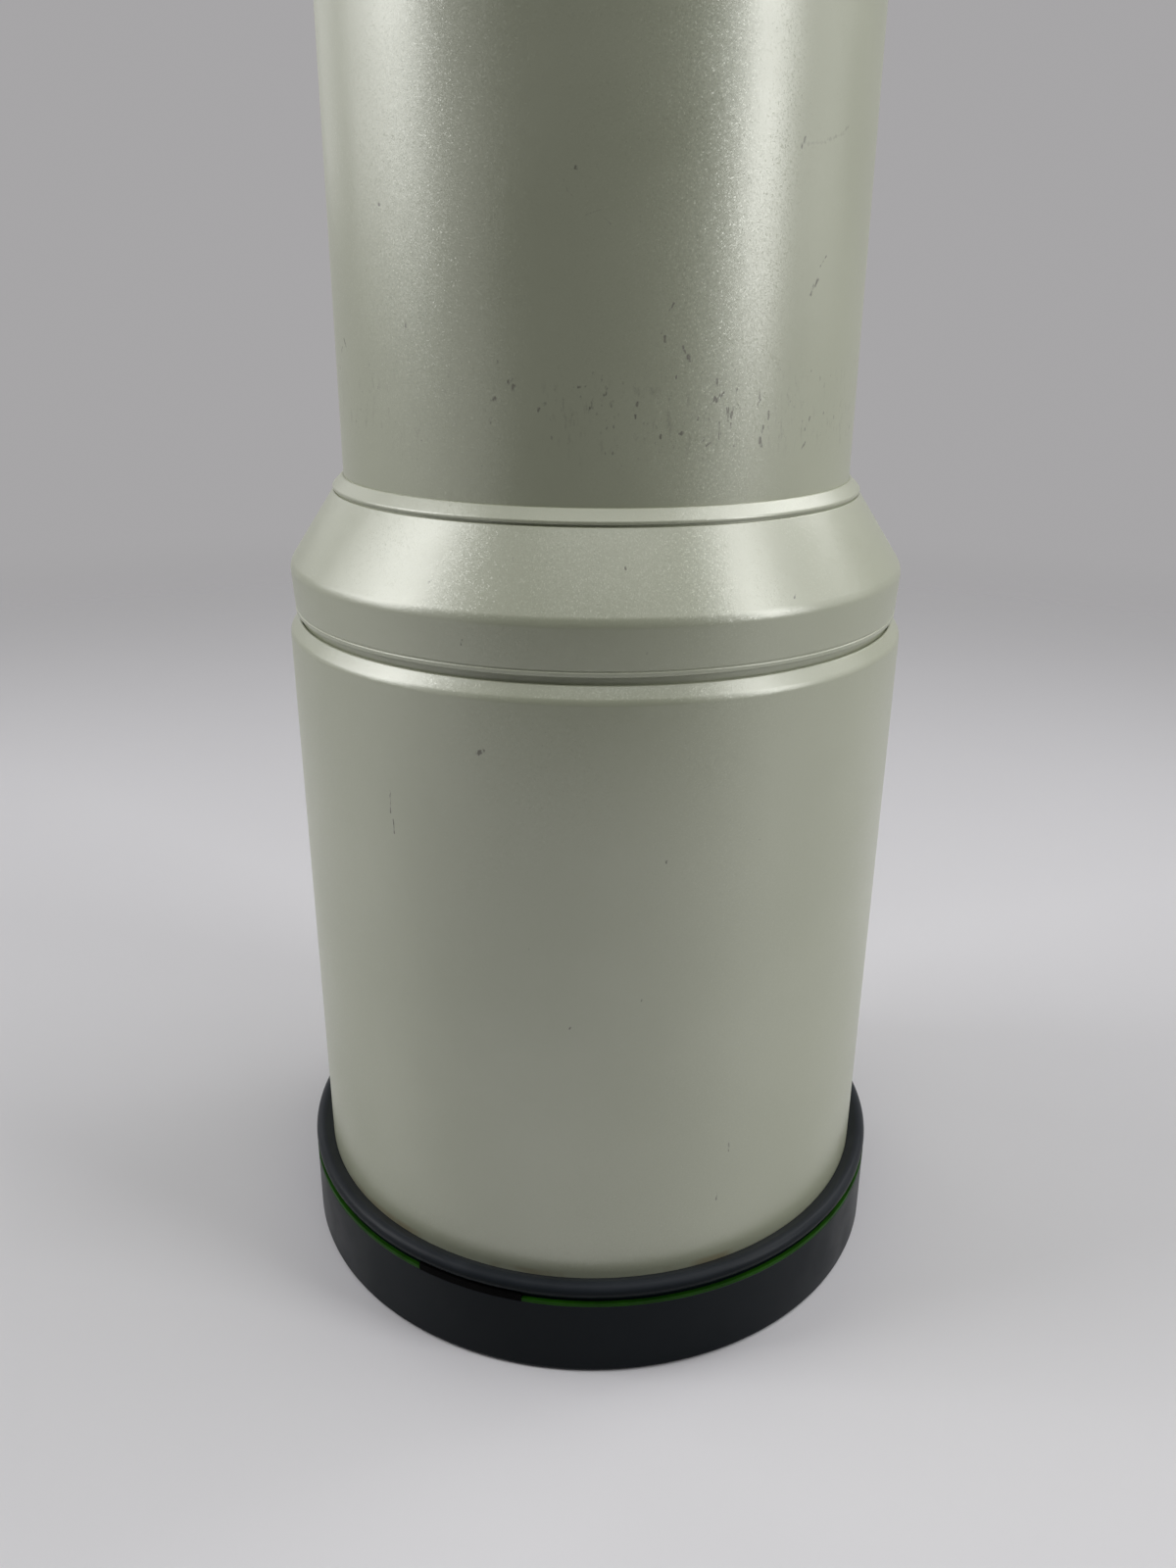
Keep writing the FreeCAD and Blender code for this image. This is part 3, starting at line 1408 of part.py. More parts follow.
def rear_glass_pieces():
    """The fixed rear cell behind the aperture, with the last two elements."""
    cell = turned_body("rear_cell_body", [
        (rear_cell_bore, iris_end),
        (rear_bore - size.seat_gap, iris_end),
        (rear_bore - size.seat_gap, cell_flange_end),
        (rear_cell_radius, cell_flange_end),
        (rear_cell_radius, rear_cell_end),
        (rear_cell_bore, rear_cell_end),
        (rear_cell_bore, rear_seat_end),
        (rear_seat_mouth, rear_seat_end),
        (rear_seat_mouth, rear_seat_bottom),
        (rear_cell_bore, rear_seat_bottom),
    ])
    margin = (size.lever_rod + size.drive_gap) / lever_radius * (180 / math.pi)
    slot_sweep = size.lever_swing + margin * 2
    slot_start = size.lever_azimuth.value - size.lever_swing.value - margin.value
    outer = cylinder("lever_slot_outer", lever_radius + size.lever_rod + size.drive_gap,
                     size.rear_cell_flange * 3, slot_sweep)
    place(outer, z=iris_end - size.rear_cell_flange)
    outer.Placement.Rotation = Rotation(Vector(0, 0, 1), slot_start)
    core = cylinder("lever_slot_core", lever_radius - size.lever_rod - size.drive_gap,
                    size.rear_cell_flange * 5)
    place(core, z=iris_end - size.rear_cell_flange * 2)
    slot = cut("lever_slot", outer, [core])
    piece("rear_cell", cut("rear_cell_slotted", cell, [slot]))
    glass_radius = rear_cell_bore - size.seat_gap
    turned("sixth_element", lens_outline(
        glass_radius, rear_seat_mouth, rear_seat_end, size.sixth_glass_edge,
        -size.sixth_front_hollow, size.sixth_rear_bulge,
    ))
    turned("seventh_element", lens_outline(
        glass_radius, rear_seat_mouth, sixth_rear, size.seventh_glass_edge,
        -seventh_front_hollow, size.seventh_rear_bulge,
    ))
    turned("rear_cell_ring", ring_outline(
        rear_seat_mouth, glass_radius, seventh_rear, seventh_rear + size.rear_ring_height,
    ))


def mount_pieces():
    """The bayonet mount with its screws, contacts and weather seal."""
    mount = turned_body("mount_ring_body", [
        (size.mount_bore, rear_end),
        (size.mount_radius, rear_end),
        (size.mount_radius, mount_face),
        (bayonet_radius, mount_face),
        (bayonet_radius, bayonet_end),
        (size.mount_bore, bayonet_end),
    ])
    half_claw = size.claw_angle.value / 2
    claw_root = (size.mount_bore + bayonet_radius) / 2
    claw = add_pad(mount, "claw", "XY_Plane", ring_sector(
        claw_root, claw_radius, -half_claw, half_claw,
    ), size.claw_thickness, offset=bayonet_end - size.claw_thickness)
    repeat_round_axis(mount, "claw_pattern", claw, size.claw_count)
    drill(mount, "screw_hole", "XY_Plane", (screw_circle, 0),
          size.mount_screw_radius + size.screw_gap, size.mount_thickness * 2,
          size.mount_screw_count, offset=mount_face)
    drill(mount, "screw_head_seat", "XY_Plane", (screw_circle, 0),
          size.mount_screw_head + size.screw_gap,
          size.mount_screw_head_height + size.mount_screw_sink,
          size.mount_screw_count, offset=mount_face)
    contact_holes = []
    contacts = []
    contact_foot = mount_face - size.contact_length
    for number in range(int(size.contact_count.value)):
        azimuth = size.contact_first.value + size.contact_pitch.value * number
        across, deep = polar_spot(contact_circle, azimuth)
        hole = cylinder("contact_hole_%d" % (number + 1), size.contact_radius, size.contact_length)
        contact_holes.append(place(hole, across, deep, contact_foot))
        pin = cylinder("contact_%d" % (number + 1), size.contact_radius, size.contact_length)
        contacts.append(place(pin, across, deep, contact_foot))
    piece("mount_ring", cut("mount_ring_bored", mount, contact_holes))
    piece("mount_contacts", group("contact_set", contacts))
    screws = []
    for number in range(int(size.mount_screw_count.value)):
        azimuth = 360.0 / size.mount_screw_count.value * number
        screws.append(mount_screw("mount_screw_%d" % (number + 1), azimuth))
    piece("mount_screws", group("mount_screw_set", screws))
    seal_bore = size.mount_radius + size.seat_gap
    turned("mount_seal", ring_outline(
        seal_bore, seal_bore + size.seal_thickness, rear_end, mount_face + size.seal_proud,
    ))


def mount_screw(name, azimuth):
    """One screw of the mount ring, its head just below the ring's face."""
    head_top = mount_face - size.mount_screw_sink
    head_foot = head_top - size.mount_screw_head_height
    tip = rear_end - size.rear_bulkhead
    screw = turned_body(name, [
        (0, 0),
        (size.mount_screw_radius, 0),
        (size.mount_screw_radius, head_foot - tip),
        (size.mount_screw_head, head_foot - tip),
        (size.mount_screw_head, head_top - tip),
        (0, head_top - tip),
    ])
    across, deep = polar_spot(screw_circle, azimuth)
    return place(screw, across, deep, tip)


def check_and_write():
    """Stop if anything in the document failed, then write each piece to its own file."""
    doc.recompute()
    for item in doc.Objects:
        if "Invalid" in item.State or "Error" in item.State:
            raise RuntimeError("%s failed: %s" % (item.Name, item.State))
    os.makedirs("parts", exist_ok=True)
    for item in pieces:
        if item.Shape.isNull() or not item.Shape.isValid():
            raise RuntimeError("%s has no valid shape" % item.Label)
        item.Shape.exportStep("parts/%s.step" % item.Label)
    print("%d pieces" % len(pieces))


hood_pieces()
front_pieces()
tube_pieces()
focus_pieces()
middle_pieces()
clamp_pieces()
rear_pieces()
iris_pieces()
rear_glass_pieces()
mount_pieces()
check_and_write()
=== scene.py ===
import json
import math

import bmesh
import bpy
from mathutils import Matrix, Vector


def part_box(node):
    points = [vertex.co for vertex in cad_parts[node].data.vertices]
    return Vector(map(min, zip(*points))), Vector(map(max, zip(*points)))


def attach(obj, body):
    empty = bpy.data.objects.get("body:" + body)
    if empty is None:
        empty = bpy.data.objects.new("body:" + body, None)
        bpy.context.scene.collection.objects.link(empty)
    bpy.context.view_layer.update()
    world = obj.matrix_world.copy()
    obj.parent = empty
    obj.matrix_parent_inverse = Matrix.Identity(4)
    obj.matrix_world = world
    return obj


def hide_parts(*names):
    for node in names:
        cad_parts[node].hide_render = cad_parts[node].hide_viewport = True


# A long telephoto lens that stands on the black ring of its hood, front glass down.
# Metres, with sizes in millimetres turned to metres by MM.
# +Z runs from the front glass to the camera mount, +Y towards the tripod foot.

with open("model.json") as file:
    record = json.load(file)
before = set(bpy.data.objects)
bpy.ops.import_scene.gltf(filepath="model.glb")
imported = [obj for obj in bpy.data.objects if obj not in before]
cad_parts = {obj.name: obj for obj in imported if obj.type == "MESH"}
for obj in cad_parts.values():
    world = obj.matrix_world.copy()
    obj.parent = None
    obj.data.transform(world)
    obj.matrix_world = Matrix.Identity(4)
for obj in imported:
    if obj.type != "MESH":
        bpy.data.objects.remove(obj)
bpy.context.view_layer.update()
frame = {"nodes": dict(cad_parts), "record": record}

MM = 0.001

# The colours of the finishes, in linear light
PEARL = (0.484, 0.507, 0.376, 1)
PEARL_DEEP = (0.446, 0.470, 0.342, 1)
GRIME = (0.055, 0.045, 0.024, 1)
# Brownish colour low on the hood: partly a stain, partly painted shade where the hood meets the ring
AMBER_STAIN_AND_SHADE = (0.260, 0.170, 0.050, 1)
RUBBER_BLACK = (0.0006, 0.0032, 0.0050, 1)
RUBBER_DUSTY = (0.0030, 0.0064, 0.0094, 1)
# A lighter bluish grey for the ring's upward faces: partly a dusty bloom, partly a painted highlight
RUBBER_BLOOM_AND_HIGHLIGHT = (0.027, 0.031, 0.037, 1)
LINING_BLACK = (0.007, 0.007, 0.007, 1)
STRIPE_GREEN = (0.013, 0.078, 0.0015, 1)
STRIPE_SHADE = (0.007, 0.040, 0.0012, 1)
PLATE_BLACK = (0.0010, 0.0010, 0.0010, 1)
ANODISED = (0.016, 0.016, 0.018, 1)
ANODISED_WORN = (0.10, 0.10, 0.105, 1)
STEEL = (0.52, 0.52, 0.51, 1)
CHROME = (0.58, 0.58, 0.57, 1)
BRASS = (0.56, 0.42, 0.20, 1)
GOLD = (0.86, 0.62, 0.26, 1)
PLASTIC = (0.017, 0.017, 0.018, 1)
BLADE = (0.030, 0.031, 0.036, 1)
FELT = (0.010, 0.010, 0.011, 1)
FLOCK = (0.006, 0.006, 0.006, 1)
DUST = (0.34, 0.33, 0.31, 1)
MARK_WHITE = (0.74, 0.74, 0.72, 1)
MARK_GREEN = (0.040, 0.230, 0.016, 1)


def as_label(word):
    """The label of a socket, from its name in small letters and underlines."""
    return word.replace("_", " ").title().replace("Ior", "IOR")


class NodeWeb:
    """Adds nodes to one node tree, with each input given as a number or as a socket."""

    def __init__(self, tree):
        self.tree = tree

    def feed(self, socket, value):
        """Link a socket to another, or set it."""
        if isinstance(value, bpy.types.NodeSocket):
            self.tree.links.new(value, socket)
        else:
            socket.default_value = value

    def add(self, kind, inputs=None, **settings):
        """A new node with its settings and inputs."""
        node = self.tree.nodes.new(kind)
        for setting, value in settings.items():
            setattr(node, setting, value)
        for label, value in (inputs or {}).items():
            self.feed(node.inputs[label], value)
        return node

    def calc(self, operation, *values):
        """The result of one sum."""
        node = self.add("ShaderNodeMath", operation=operation)
        for socket, value in zip(node.inputs, values):
            self.feed(socket, value)
        return node.outputs[0]

    def times(self, first, *others):
        """The values multiplied together."""
        for value in others:
            first = self.calc("MULTIPLY", first, value)
        return first

    def strongest(self, first, *others):
        """The strongest of several masks at each point."""
        for mask in others:
            first = self.calc("MAXIMUM", first, mask)
        return first

    def vector(self, operation, *values, scale=None):
        """The result of one sum on vectors."""
        node = self.add("ShaderNodeVectorMath", operation=operation)
        for socket, value in zip(node.inputs, values):
            self.feed(socket, value)
        if scale is not None:
            self.feed(node.inputs["Scale"], scale)
        return node.outputs["Value" if operation in ("LENGTH", "DOT_PRODUCT") else "Vector"]

    def between(self, value, low, high, start=0.0, end=1.0):
        """A value that goes smoothly from start to end as the input goes from low to high."""
        spread = self.add("ShaderNodeMapRange", {
            "Value": value, "From Min": low, "From Max": high, "To Min": start, "To Max": end,
        }, interpolation_type="SMOOTHSTEP")
        return spread.outputs["Result"]

    def blend(self, mask, first, second):
        """The first colour where the mask is 0, the second where it is 1."""
        node = self.add("ShaderNodeMix", data_type="RGBA")
        for index, value in ((0, mask), (6, first), (7, second)):
            self.feed(node.inputs[index], value)
        return node.outputs[2]

    def spot(self, stretch=None):
        """The point on the object that is being coloured, stretched along its axes if asked."""
        spot = self.add("ShaderNodeTexCoord").outputs["Object"]
        return spot if stretch is None else self.vector("MULTIPLY", spot, stretch)

    def lengthwise(self, amount):
        """A stretch along the lens only."""
        return self.add("ShaderNodeCombineXYZ", {"X": 1, "Y": 1, "Z": amount}).outputs[0]

    def facing(self):
        """The way the surface faces."""
        return self.add("ShaderNodeNewGeometry").outputs["Normal"]

    def noise(self, scale, detail=2.0, stretch=None, rough=0.5):
        """Noise on the object's own coordinates."""
        return self.add("ShaderNodeTexNoise", {
            "Vector": self.spot(stretch), "Scale": scale, "Detail": detail, "Roughness": rough,
        }).outputs["Fac"]

    def cells(self, scale, stretch=None, **settings):
        """Cells on the object's own coordinates: their random colours and the way to their middles."""
        return self.add("ShaderNodeTexVoronoi", {
            "Vector": self.spot(stretch), "Scale": scale,
        }, **settings).outputs

    def channels(self, colour):
        """The three parts of a colour."""
        return self.add("ShaderNodeSeparateColor", {"Color": colour}).outputs

    def effect(self, name, **inputs):
        """One of the shared effects below, placed with its own values: its one output, or all."""
        node = self.add("ShaderNodeGroup", node_tree=bpy.data.node_groups[name])
        for label, value in inputs.items():
            self.feed(node.inputs[as_label(label)], value)
        return node.outputs[0] if len(node.outputs) == 1 else node.outputs

    def mottle(self, scale, low=0, high=1):
        """Slow patchiness between two values."""
        return self.effect("mottle", scale=scale, low=low, high=high)


class Finish(NodeWeb):
    """A new material with its constant shader values set, ready for what changes over it."""

    def __init__(self, name, **constants):
        self.material = bpy.data.materials.new(name)
        self.material.use_nodes = True
        super().__init__(self.material.node_tree)
        self.shader = self.tree.nodes["Principled BSDF"].inputs
        for label, value in constants.items():
            self.shader[as_label(label)].default_value = value

    def show(self, label, value):
        """Feed one input of the shader."""
        self.feed(self.shader[label], value)

    def done(self, colour, roughness, height, depth, strength, normal=None):
        """The finished material: its colour, its roughness, and a relief of a depth in mm."""
        relief = self.add("ShaderNodeBump", {
            "Height": height, "Distance": depth * MM, "Strength": strength,
        })
        if normal is not None:
            self.feed(relief.inputs["Normal"], normal)
        self.show("Base Color", colour)
        self.show("Roughness", roughness)
        self.show("Normal", relief.outputs[0])
        return self.material


def new_effect(name, inputs, outputs):
    """An effect that several finishes share: its node web, its inputs and its outputs."""
    group = bpy.data.node_groups.new(name, "ShaderNodeTree")
    for label, value in inputs.items():
        socket = group.interface.new_socket(label, in_out="INPUT", socket_type="NodeSocketFloat")
        socket.default_value = value
    for label, kind in outputs.items():
        group.interface.new_socket(label, in_out="OUTPUT", socket_type="NodeSocket" + kind)
    web = NodeWeb(group)
    return web, web.add("NodeGroupInput").outputs, web.add("NodeGroupOutput").inputs


def make_around_axis():
    """Where a point lies about the lens's axis: angle, radius and height."""
    web, _, out = new_effect("around axis", {}, {
        "Angle": "Float", "Radius": "Float", "Height": "Float",
    })
    axes = web.add("ShaderNodeSeparateXYZ", {"Vector": web.spot()}).outputs
    web.feed(out["Angle"], web.calc("ARCTAN2", axes["Y"], axes["X"]))
    web.feed(out["Radius"], web.vector("LENGTH", web.spot((1, 1, 0))))
    web.feed(out["Height"], axes["Z"])


def make_flakes():
    """Pearl flakes: each tiny cell leans its own way, so that highlights sparkle."""
    web, given, out = new_effect("pearl flakes", {"Scale": 5000, "Tilt": 0.06}, {"Normal": "Vector"})
    colour = web.cells(given["Scale"])["Color"]
    chance = web.channels(colour)[1]
    lean = web.vector("SUBTRACT", colour, (0.5, 0.5, 0.5))
    lean = web.vector("SCALE", lean, scale=web.times(chance, chance, given["Tilt"]))
    web.feed(out["Normal"], web.vector("NORMALIZE", web.vector("ADD", web.facing(), lean)))


def make_peel():
    """The soft unevenness of sprayed paint, as a height."""
    web, given, out = new_effect("spray peel", {"Scale": 420, "Fine": 0.3}, {"Height": "Float"})
    coarse = web.noise(given["Scale"], 1.5)
    fine = web.noise(web.times(given["Scale"], 4.3), 1.0)
    web.feed(out["Height"], web.calc("ADD", coarse, web.times(fine, given["Fine"])))


def make_mottle():
    """Slow patchiness, for small changes of colour and gloss."""
    web, given, out = new_effect("mottle", {"Scale": 30, "Low": 0, "High": 1}, {"Value": "Float"})
    patches = web.noise(given["Scale"], 3)
    web.feed(out["Value"], web.between(patches, 0.3, 0.7, given["Low"], given["High"]))


def make_hairlines():
    """Fine scratches that run mostly along the lens and come in patches."""
    web, given, out = new_effect("hairlines", {
        "Scale": 70, "Amount": 0.5, "Along": 0.12,
    }, {"Mask": "Float"})
    lines = web.noise(given["Scale"], 4, web.lengthwise(given["Along"]))
    off_middle = web.calc("ABSOLUTE", web.calc("SUBTRACT", lines, 0.5))
    line = web.between(off_middle, 0.0, 0.006, 1, 0)
    patch = web.between(web.noise(55, 3), 0.52, 0.68)
    web.feed(out["Mask"], web.times(line, patch, given["Amount"]))


def make_specks():
    """Scattered specks of dust or dirt, round or drawn out along the lens."""
    web, given, out = new_effect("specks", {
        "Scale": 300, "Size": 0.12, "Share": 0.1, "Along": 1,
    }, {"Mask": "Float"})
    cells = web.cells(given["Scale"], web.lengthwise(given["Along"]))
    chance = web.channels(cells["Color"])
    kept = web.calc("LESS_THAN", chance[0], given["Share"])
    kept = web.times(kept, web.calc("MULTIPLY_ADD", chance[2], 0.7, 0.3))
    size = web.times(given["Size"], web.calc("ADD", chance[1], 0.4))
    dot = web.between(cells["Distance"], web.times(size, 0.6), size, 1, 0)
    broken = web.between(web.noise(2300), 0.40, 0.54)
    web.feed(out["Mask"], web.times(dot, kept, broken))


def make_edge_wear():
    """Where an edge stands proud and rubs bright, broken up so that it isn't even."""
    web, given, out = new_effect("edge wear", {"Width": 0.0006, "Amount": 1}, {"Mask": "Float"})
    eased = web.add("ShaderNodeBevel", {"Radius": given["Width"]}, samples=4).outputs[0]
    turned_away = web.calc("SUBTRACT", 1, web.vector("DOT_PRODUCT", eased, web.facing()))
    edge = web.between(turned_away, 0.02, 0.2)
    patch = web.between(web.noise(160, 4.0), 0.42, 0.62)
    web.feed(out["Mask"], web.times(edge, patch, given["Amount"]))


def make_turning_marks():
    """The fine rings that a lathe leaves, a height that changes with radius and height only."""
    web, given, out = new_effect("turning marks", {"Scale": 2500}, {"Height": "Float"})
    about = web.effect("around axis")
    spot = web.add("ShaderNodeCombineXYZ", {"X": about["Radius"], "Y": about["Height"]}).outputs[0]
    rings = web.add("ShaderNodeTexNoise", {"Vector": spot, "Scale": given["Scale"], "Detail": 3})
    web.feed(out["Height"], rings.outputs["Fac"])


def make_grain():
    """The moulded grain of plastic and rubber, as a height."""
    web, given, out = new_effect("moulded grain", {"Scale": 1500}, {"Height": "Float"})
    pebbles = web.cells(given["Scale"], feature="SMOOTH_F1")
    web.feed(out["Height"], web.calc("SUBTRACT", 1, pebbles["Distance"]))


def make_placed_mark():
    """One mark at an angle and height on the barrel: a streak with a slant and ragged sides."""
    web, given, out = new_effect("placed mark", {
        "Angle Here": 0, "Radius Here": 0, "Height Here": 0, "Ragged": 0,
        "Angle": 0, "Height": 0.1, "Slant": 0, "Length": 0.003, "Width": 0.0004,
    }, {"Mask": "Float"})
    turn = web.calc("SUBTRACT", given["Angle Here"], given["Angle"])
    across = web.times(turn, given["Radius Here"])
    up = web.calc("SUBTRACT", given["Height Here"], given["Height"])
    cosine = web.calc("COSINE", given["Slant"])
    sine = web.calc("SINE", given["Slant"])
    side = web.calc("SUBTRACT", web.times(across, cosine), web.times(up, sine))
    along = web.calc("ADD", web.times(across, sine), web.times(up, cosine))
    half = web.times(given["Length"], 0.5)
    beyond = web.calc("MAXIMUM", web.calc("SUBTRACT", web.calc("ABSOLUTE", along), half), 0)
    away = web.calc("SQRT", web.calc("ADD", web.times(side, side), web.times(beyond, beyond)))
    swing = web.times(given["Ragged"], given["Width"])
    web.feed(out["Mask"], web.between(web.calc("ADD", away, swing), 0, given["Width"], 1, 0))


def make_effects():
    """All the shared effects, the ones that others use first."""
    for make in (make_around_axis, make_flakes, make_peel, make_mottle, make_hairlines, make_specks,
                 make_edge_wear, make_turning_marks, make_grain, make_placed_mark):
        make()


# The marks that stand out on the main tube: angle in degrees, height in mm, slant in radians,
# length and width in mm
TUBE_MARKS = (
    (-153.6, 192, -0.61, 1.5, 0.34), (-156.3, 190.9, 0.7, 0.9, 0.28),
    (-105.8, 187.5, 1.13, 1.3, 0.36), (-105.6, 186.2, 0.17, 0.5, 0.42),
    (-109.5, 184.4, 1.05, 0.7, 0.44), (-110, 181.2, 0, 0.4, 0.4), (-108.4, 190.1, 0, 0.3, 0.3),
    (-94.6, 186.2, 0, 0.5, 0.32), (-92.7, 186.6, 1.4, 1.2, 0.24), (-90.9, 183.8, 0.26, 0.7, 0.32),
    (-88.4, 185.9, 0.17, 0.7, 0.3), (-99.7, 183.8, 0, 0.4, 0.3), (-100.6, 183.1, 0.35, 0.4, 0.28),
    (-87.3, 184.1, 0, 0.7, 0.28), (-82.8, 183.9, 0.7, 0.9, 0.44), (-83, 182.2, 0, 0.4, 0.26),
    (-77.7, 193.8, 0, 0.7, 0.28), (-73.9, 192, -0.44, 0.9, 0.36), (-73.1, 190.8, -0.44, 0.9, 0.44),
    (-75.4, 188, 0, 0.3, 0.3), (-80.9, 186.3, 0.35, 0.6, 0.26), (-76.6, 198.4, 0.61, 1.2, 0.2),
    (-78.3, 194.8, 0.35, 0.6, 0.2), (-67.2, 187.2, -0.26, 1, 0.26), (-66.6, 187.1, 0.35, 0.9, 0.24),
    (-63.1, 185.5, 0.17, 1.1, 0.26), (-67.9, 184.4, 0.61, 1, 0.24), (-66.9, 184.8, 0.61, 1.2, 0.22),
    (-66.1, 185.3, 0.61, 0.9, 0.2), (-57.7, 185.1, 0.17, 1.2, 0.3), (-57.8, 183.9, 0.52, 0.9, 0.26),
    (-64.8, 182.2, -0.21, 2, 0.4), (-63.8, 182.5, 0.21, 1.6, 0.36), (-63.9, 180.5, 0, 0.7, 0.24),
    (-61.9, 182.9, -0.52, 1.6, 0.3), (-66.4, 179.7, 0.05, 2.6, 0.22), (-55.2, 181.8, 0, 1.3, 0.2),
    (-56.5, 179.3, 0.17, 1.6, 0.26), (-56.8, 177.6, 0, 1.4, 0.38), (-74.1, 179.5, 1.4, 0.7, 0.3),
    (-43.1, 180.6, 0, 0.8, 0.26), (-43.6, 188.7, 0, 0.5, 0.24), (-38.4, 186, 0, 0.5, 0.22),
    (-44.5, 176.5, 0.7, 1.4, 0.26), (-78.1, 179, 0, 0.5, 0.24), (-68.5, 177.7, 1.05, 1, 0.24),
    (-63, 177.4, 0, 0.4, 0.26), (-45, 201, 0.52, 1.6, 0.32), (-43.9, 202.1, 0.66, 1.4, 0.28),
    (-42.1, 205.4, 0.79, 2.2, 0.16), (-50.3, 222.2, 0.44, 1.6, 0.2), (-129, 195.1, 0, 0.2, 0.32),
    (-135, 213.2, 0, 0.2, 0.26), (-93.9, 217.4, 0, 0.2, 0.26),
)

# Fine curved scratches on the tube, which catch the light and hold a little dirt
TUBE_SCRATCHES = (
    (-95.7, 215.1, -0.35, 1.6, 0.13), (-94.9, 214, -0.8, 1.4, 0.11),
    (-90.8, 211.5, 1.25, 2.4, 0.12), (-88.7, 210.5, -0.85, 1.8, 0.11),
    (-47.4, 222.3, 1.45, 6, 0.34), (-41, 223.6, 1.3, 5, 0.36), (-37.6, 224.8, 1.1, 3, 0.26),
)

# The marks on the hood, given in the same way
HOOD_MARKS = (
    (-125.6, 116.5, 0.03, 4.2, 0.22), (-125.2, 111.8, -0.05, 2.6, 0.18),
    (-93.5, 77.4, 0.2, 0.3, 0.22), (-81.6, 82.9, 0.4, 0.3, 0.2), (-78.2, 109.9, 0.1, 0.3, 0.18),
    (-100.4, 93, 0, 0.2, 0.18), (-64, 47, 0, 1.8, 0.24), (-66, 36, 0.1, 1.6, 0.2),
    (-107.9, 128.9, 1.2, 1.4, 0.5),
)

# Small specks and nicks on the flare
FLARE_MARKS = (
    (-118, 156, 0.9, 0.9, 0.2), (-104, 160.2, 0, 0.3, 0.2), (-85, 159.4, 0, 0.3, 0.18),
    (-56, 153.6, 0.8, 0.7, 0.18), (-111, 147.2, 0.2, 0.9, 0.2), (-82, 146.6, 0, 0.3, 0.18),
)


def placed_marks(web, marks):
    """A mask of the marks in a list, ragged at their sides and broken along their length."""
    about = web.effect("around axis")
    ragged = web.calc("MULTIPLY_ADD", web.noise(2200, 3, (1, 1, 0.35)), 4.5, -2.25)
    masks = []
    for angle, height, slant, length, width in marks:
        masks.append(web.effect(
            "placed mark", angle_here=about["Angle"], radius_here=about["Radius"],
            height_here=about["Height"], ragged=ragged, angle=math.radians(angle),
            height=height * MM, slant=slant, length=length * MM, width=width * MM,
        ))
    broken = web.between(web.noise(1500, 2.0, (1, 1, 0.45)), 0.30, 0.52)
    return web.times(web.strongest(*masks), broken)


def scuffed_band(web):
    """The rubbed band low on the main tube: short dark ticks and faint smears, most on one side."""
    about = web.effect("around axis")
    middle, half_width, dirty_side = 182.5 * MM, 10.0 * MM, math.radians(-66)
    off = web.calc("ABSOLUTE", web.calc("SUBTRACT", about["Height"], middle))
    band = web.between(off, half_width * 0.2, half_width, 1, 0)
    side = web.calc("ABSOLUTE", web.calc("SUBTRACT", about["Angle"], dirty_side))
    patches = web.between(web.noise(75, 3.0), 0.40, 0.62)
    amount = web.times(band, web.between(side, 0.25, 2.2, 1.0, 0.6), patches)
    masks = []
    for scale, size, share, strength in ((820, 0.19, 0.34, 0.85), (1500, 0.26, 0.40, 0.6)):
        ticks = web.effect("specks", scale=scale, size=size, along=0.55,
                           share=web.times(amount, share))
        masks.append(web.times(ticks, strength))
    smear = web.between(web.noise(900, 5.0, (1, 1, 0.35), 0.65), 0.53, 0.70)
    masks.append(web.times(amount, smear, 0.42))
    return web.strongest(*masks)


def facing_in(web):
    """A mask of the surfaces that face the lens's axis: the insides of the barrels."""
    outward = web.vector("NORMALIZE", web.spot((1, 1, 0)))
    return web.calc("LESS_THAN", web.vector("DOT_PRODUCT", web.facing(), outward), -0.4)


def pearl_paint(name, marks=(), scratches=(), scuffs=False, stain_and_shade=False, lined=False):
    """Satin pearl enamel: a sparkle of flakes, spray peel, faint patches and honest wear, and where
    asked a brownish band low down that is partly stain and partly painted shade.
    """
    web = Finish(name, metallic=0.06, ior=2.2, coat_weight=0.2, coat_roughness=0.28)
    dirt = [web.times(web.effect("specks", scale=240, size=0.05, share=0.035), 0.6)]
    if marks:
        dirt.append(web.times(placed_marks(web, marks), 0.80))
    if scuffs:
        dirt.append(web.times(scuffed_band(web), 0.80))
    dirt = web.strongest(*dirt)
    colour = web.blend(dirt, web.blend(web.mottle(22), PEARL, PEARL_DEEP), GRIME)
    hair = [web.effect("hairlines", amount=0.22)]
    if scratches:
        fine = placed_marks(web, scratches)
        colour = web.blend(web.times(fine, 0.25), colour, GRIME)
        hair.append(fine)
    hair = web.strongest(*hair)
    # A brownish band just above the black ring: partly a stain, partly painted shade where the hood
    # meets the ring
    if stain_and_shade:
        ring_top, stain_and_shade_top = 20.9 * MM, 22.0 * MM
        low = web.between(web.effect("around axis")["Height"], ring_top, stain_and_shade_top, 1, 0)
        stain_and_shade_patches = web.between(web.noise(70, 4.0), 0.50, 0.66)
        colour = web.blend(web.times(stain_and_shade_patches, 0.45, low), colour, AMBER_STAIN_AND_SHADE)
    if lined:
        colour = web.blend(facing_in(web), colour, LINING_BLACK)
    dull = web.times(web.strongest(hair, dirt), 0.25)
    roughness = web.calc("ADD", web.mottle(48, 0.31, 0.36), dull)
    flakes = web.effect("pearl flakes", scale=5600, tilt=0.19)
    peel = web.effect("spray peel", scale=520, fine=0.45)
    height = web.calc("SUBTRACT", peel, web.times(hair, 0.2))
    return web.done(colour, roughness, height, 0.02, 0.6, flakes)


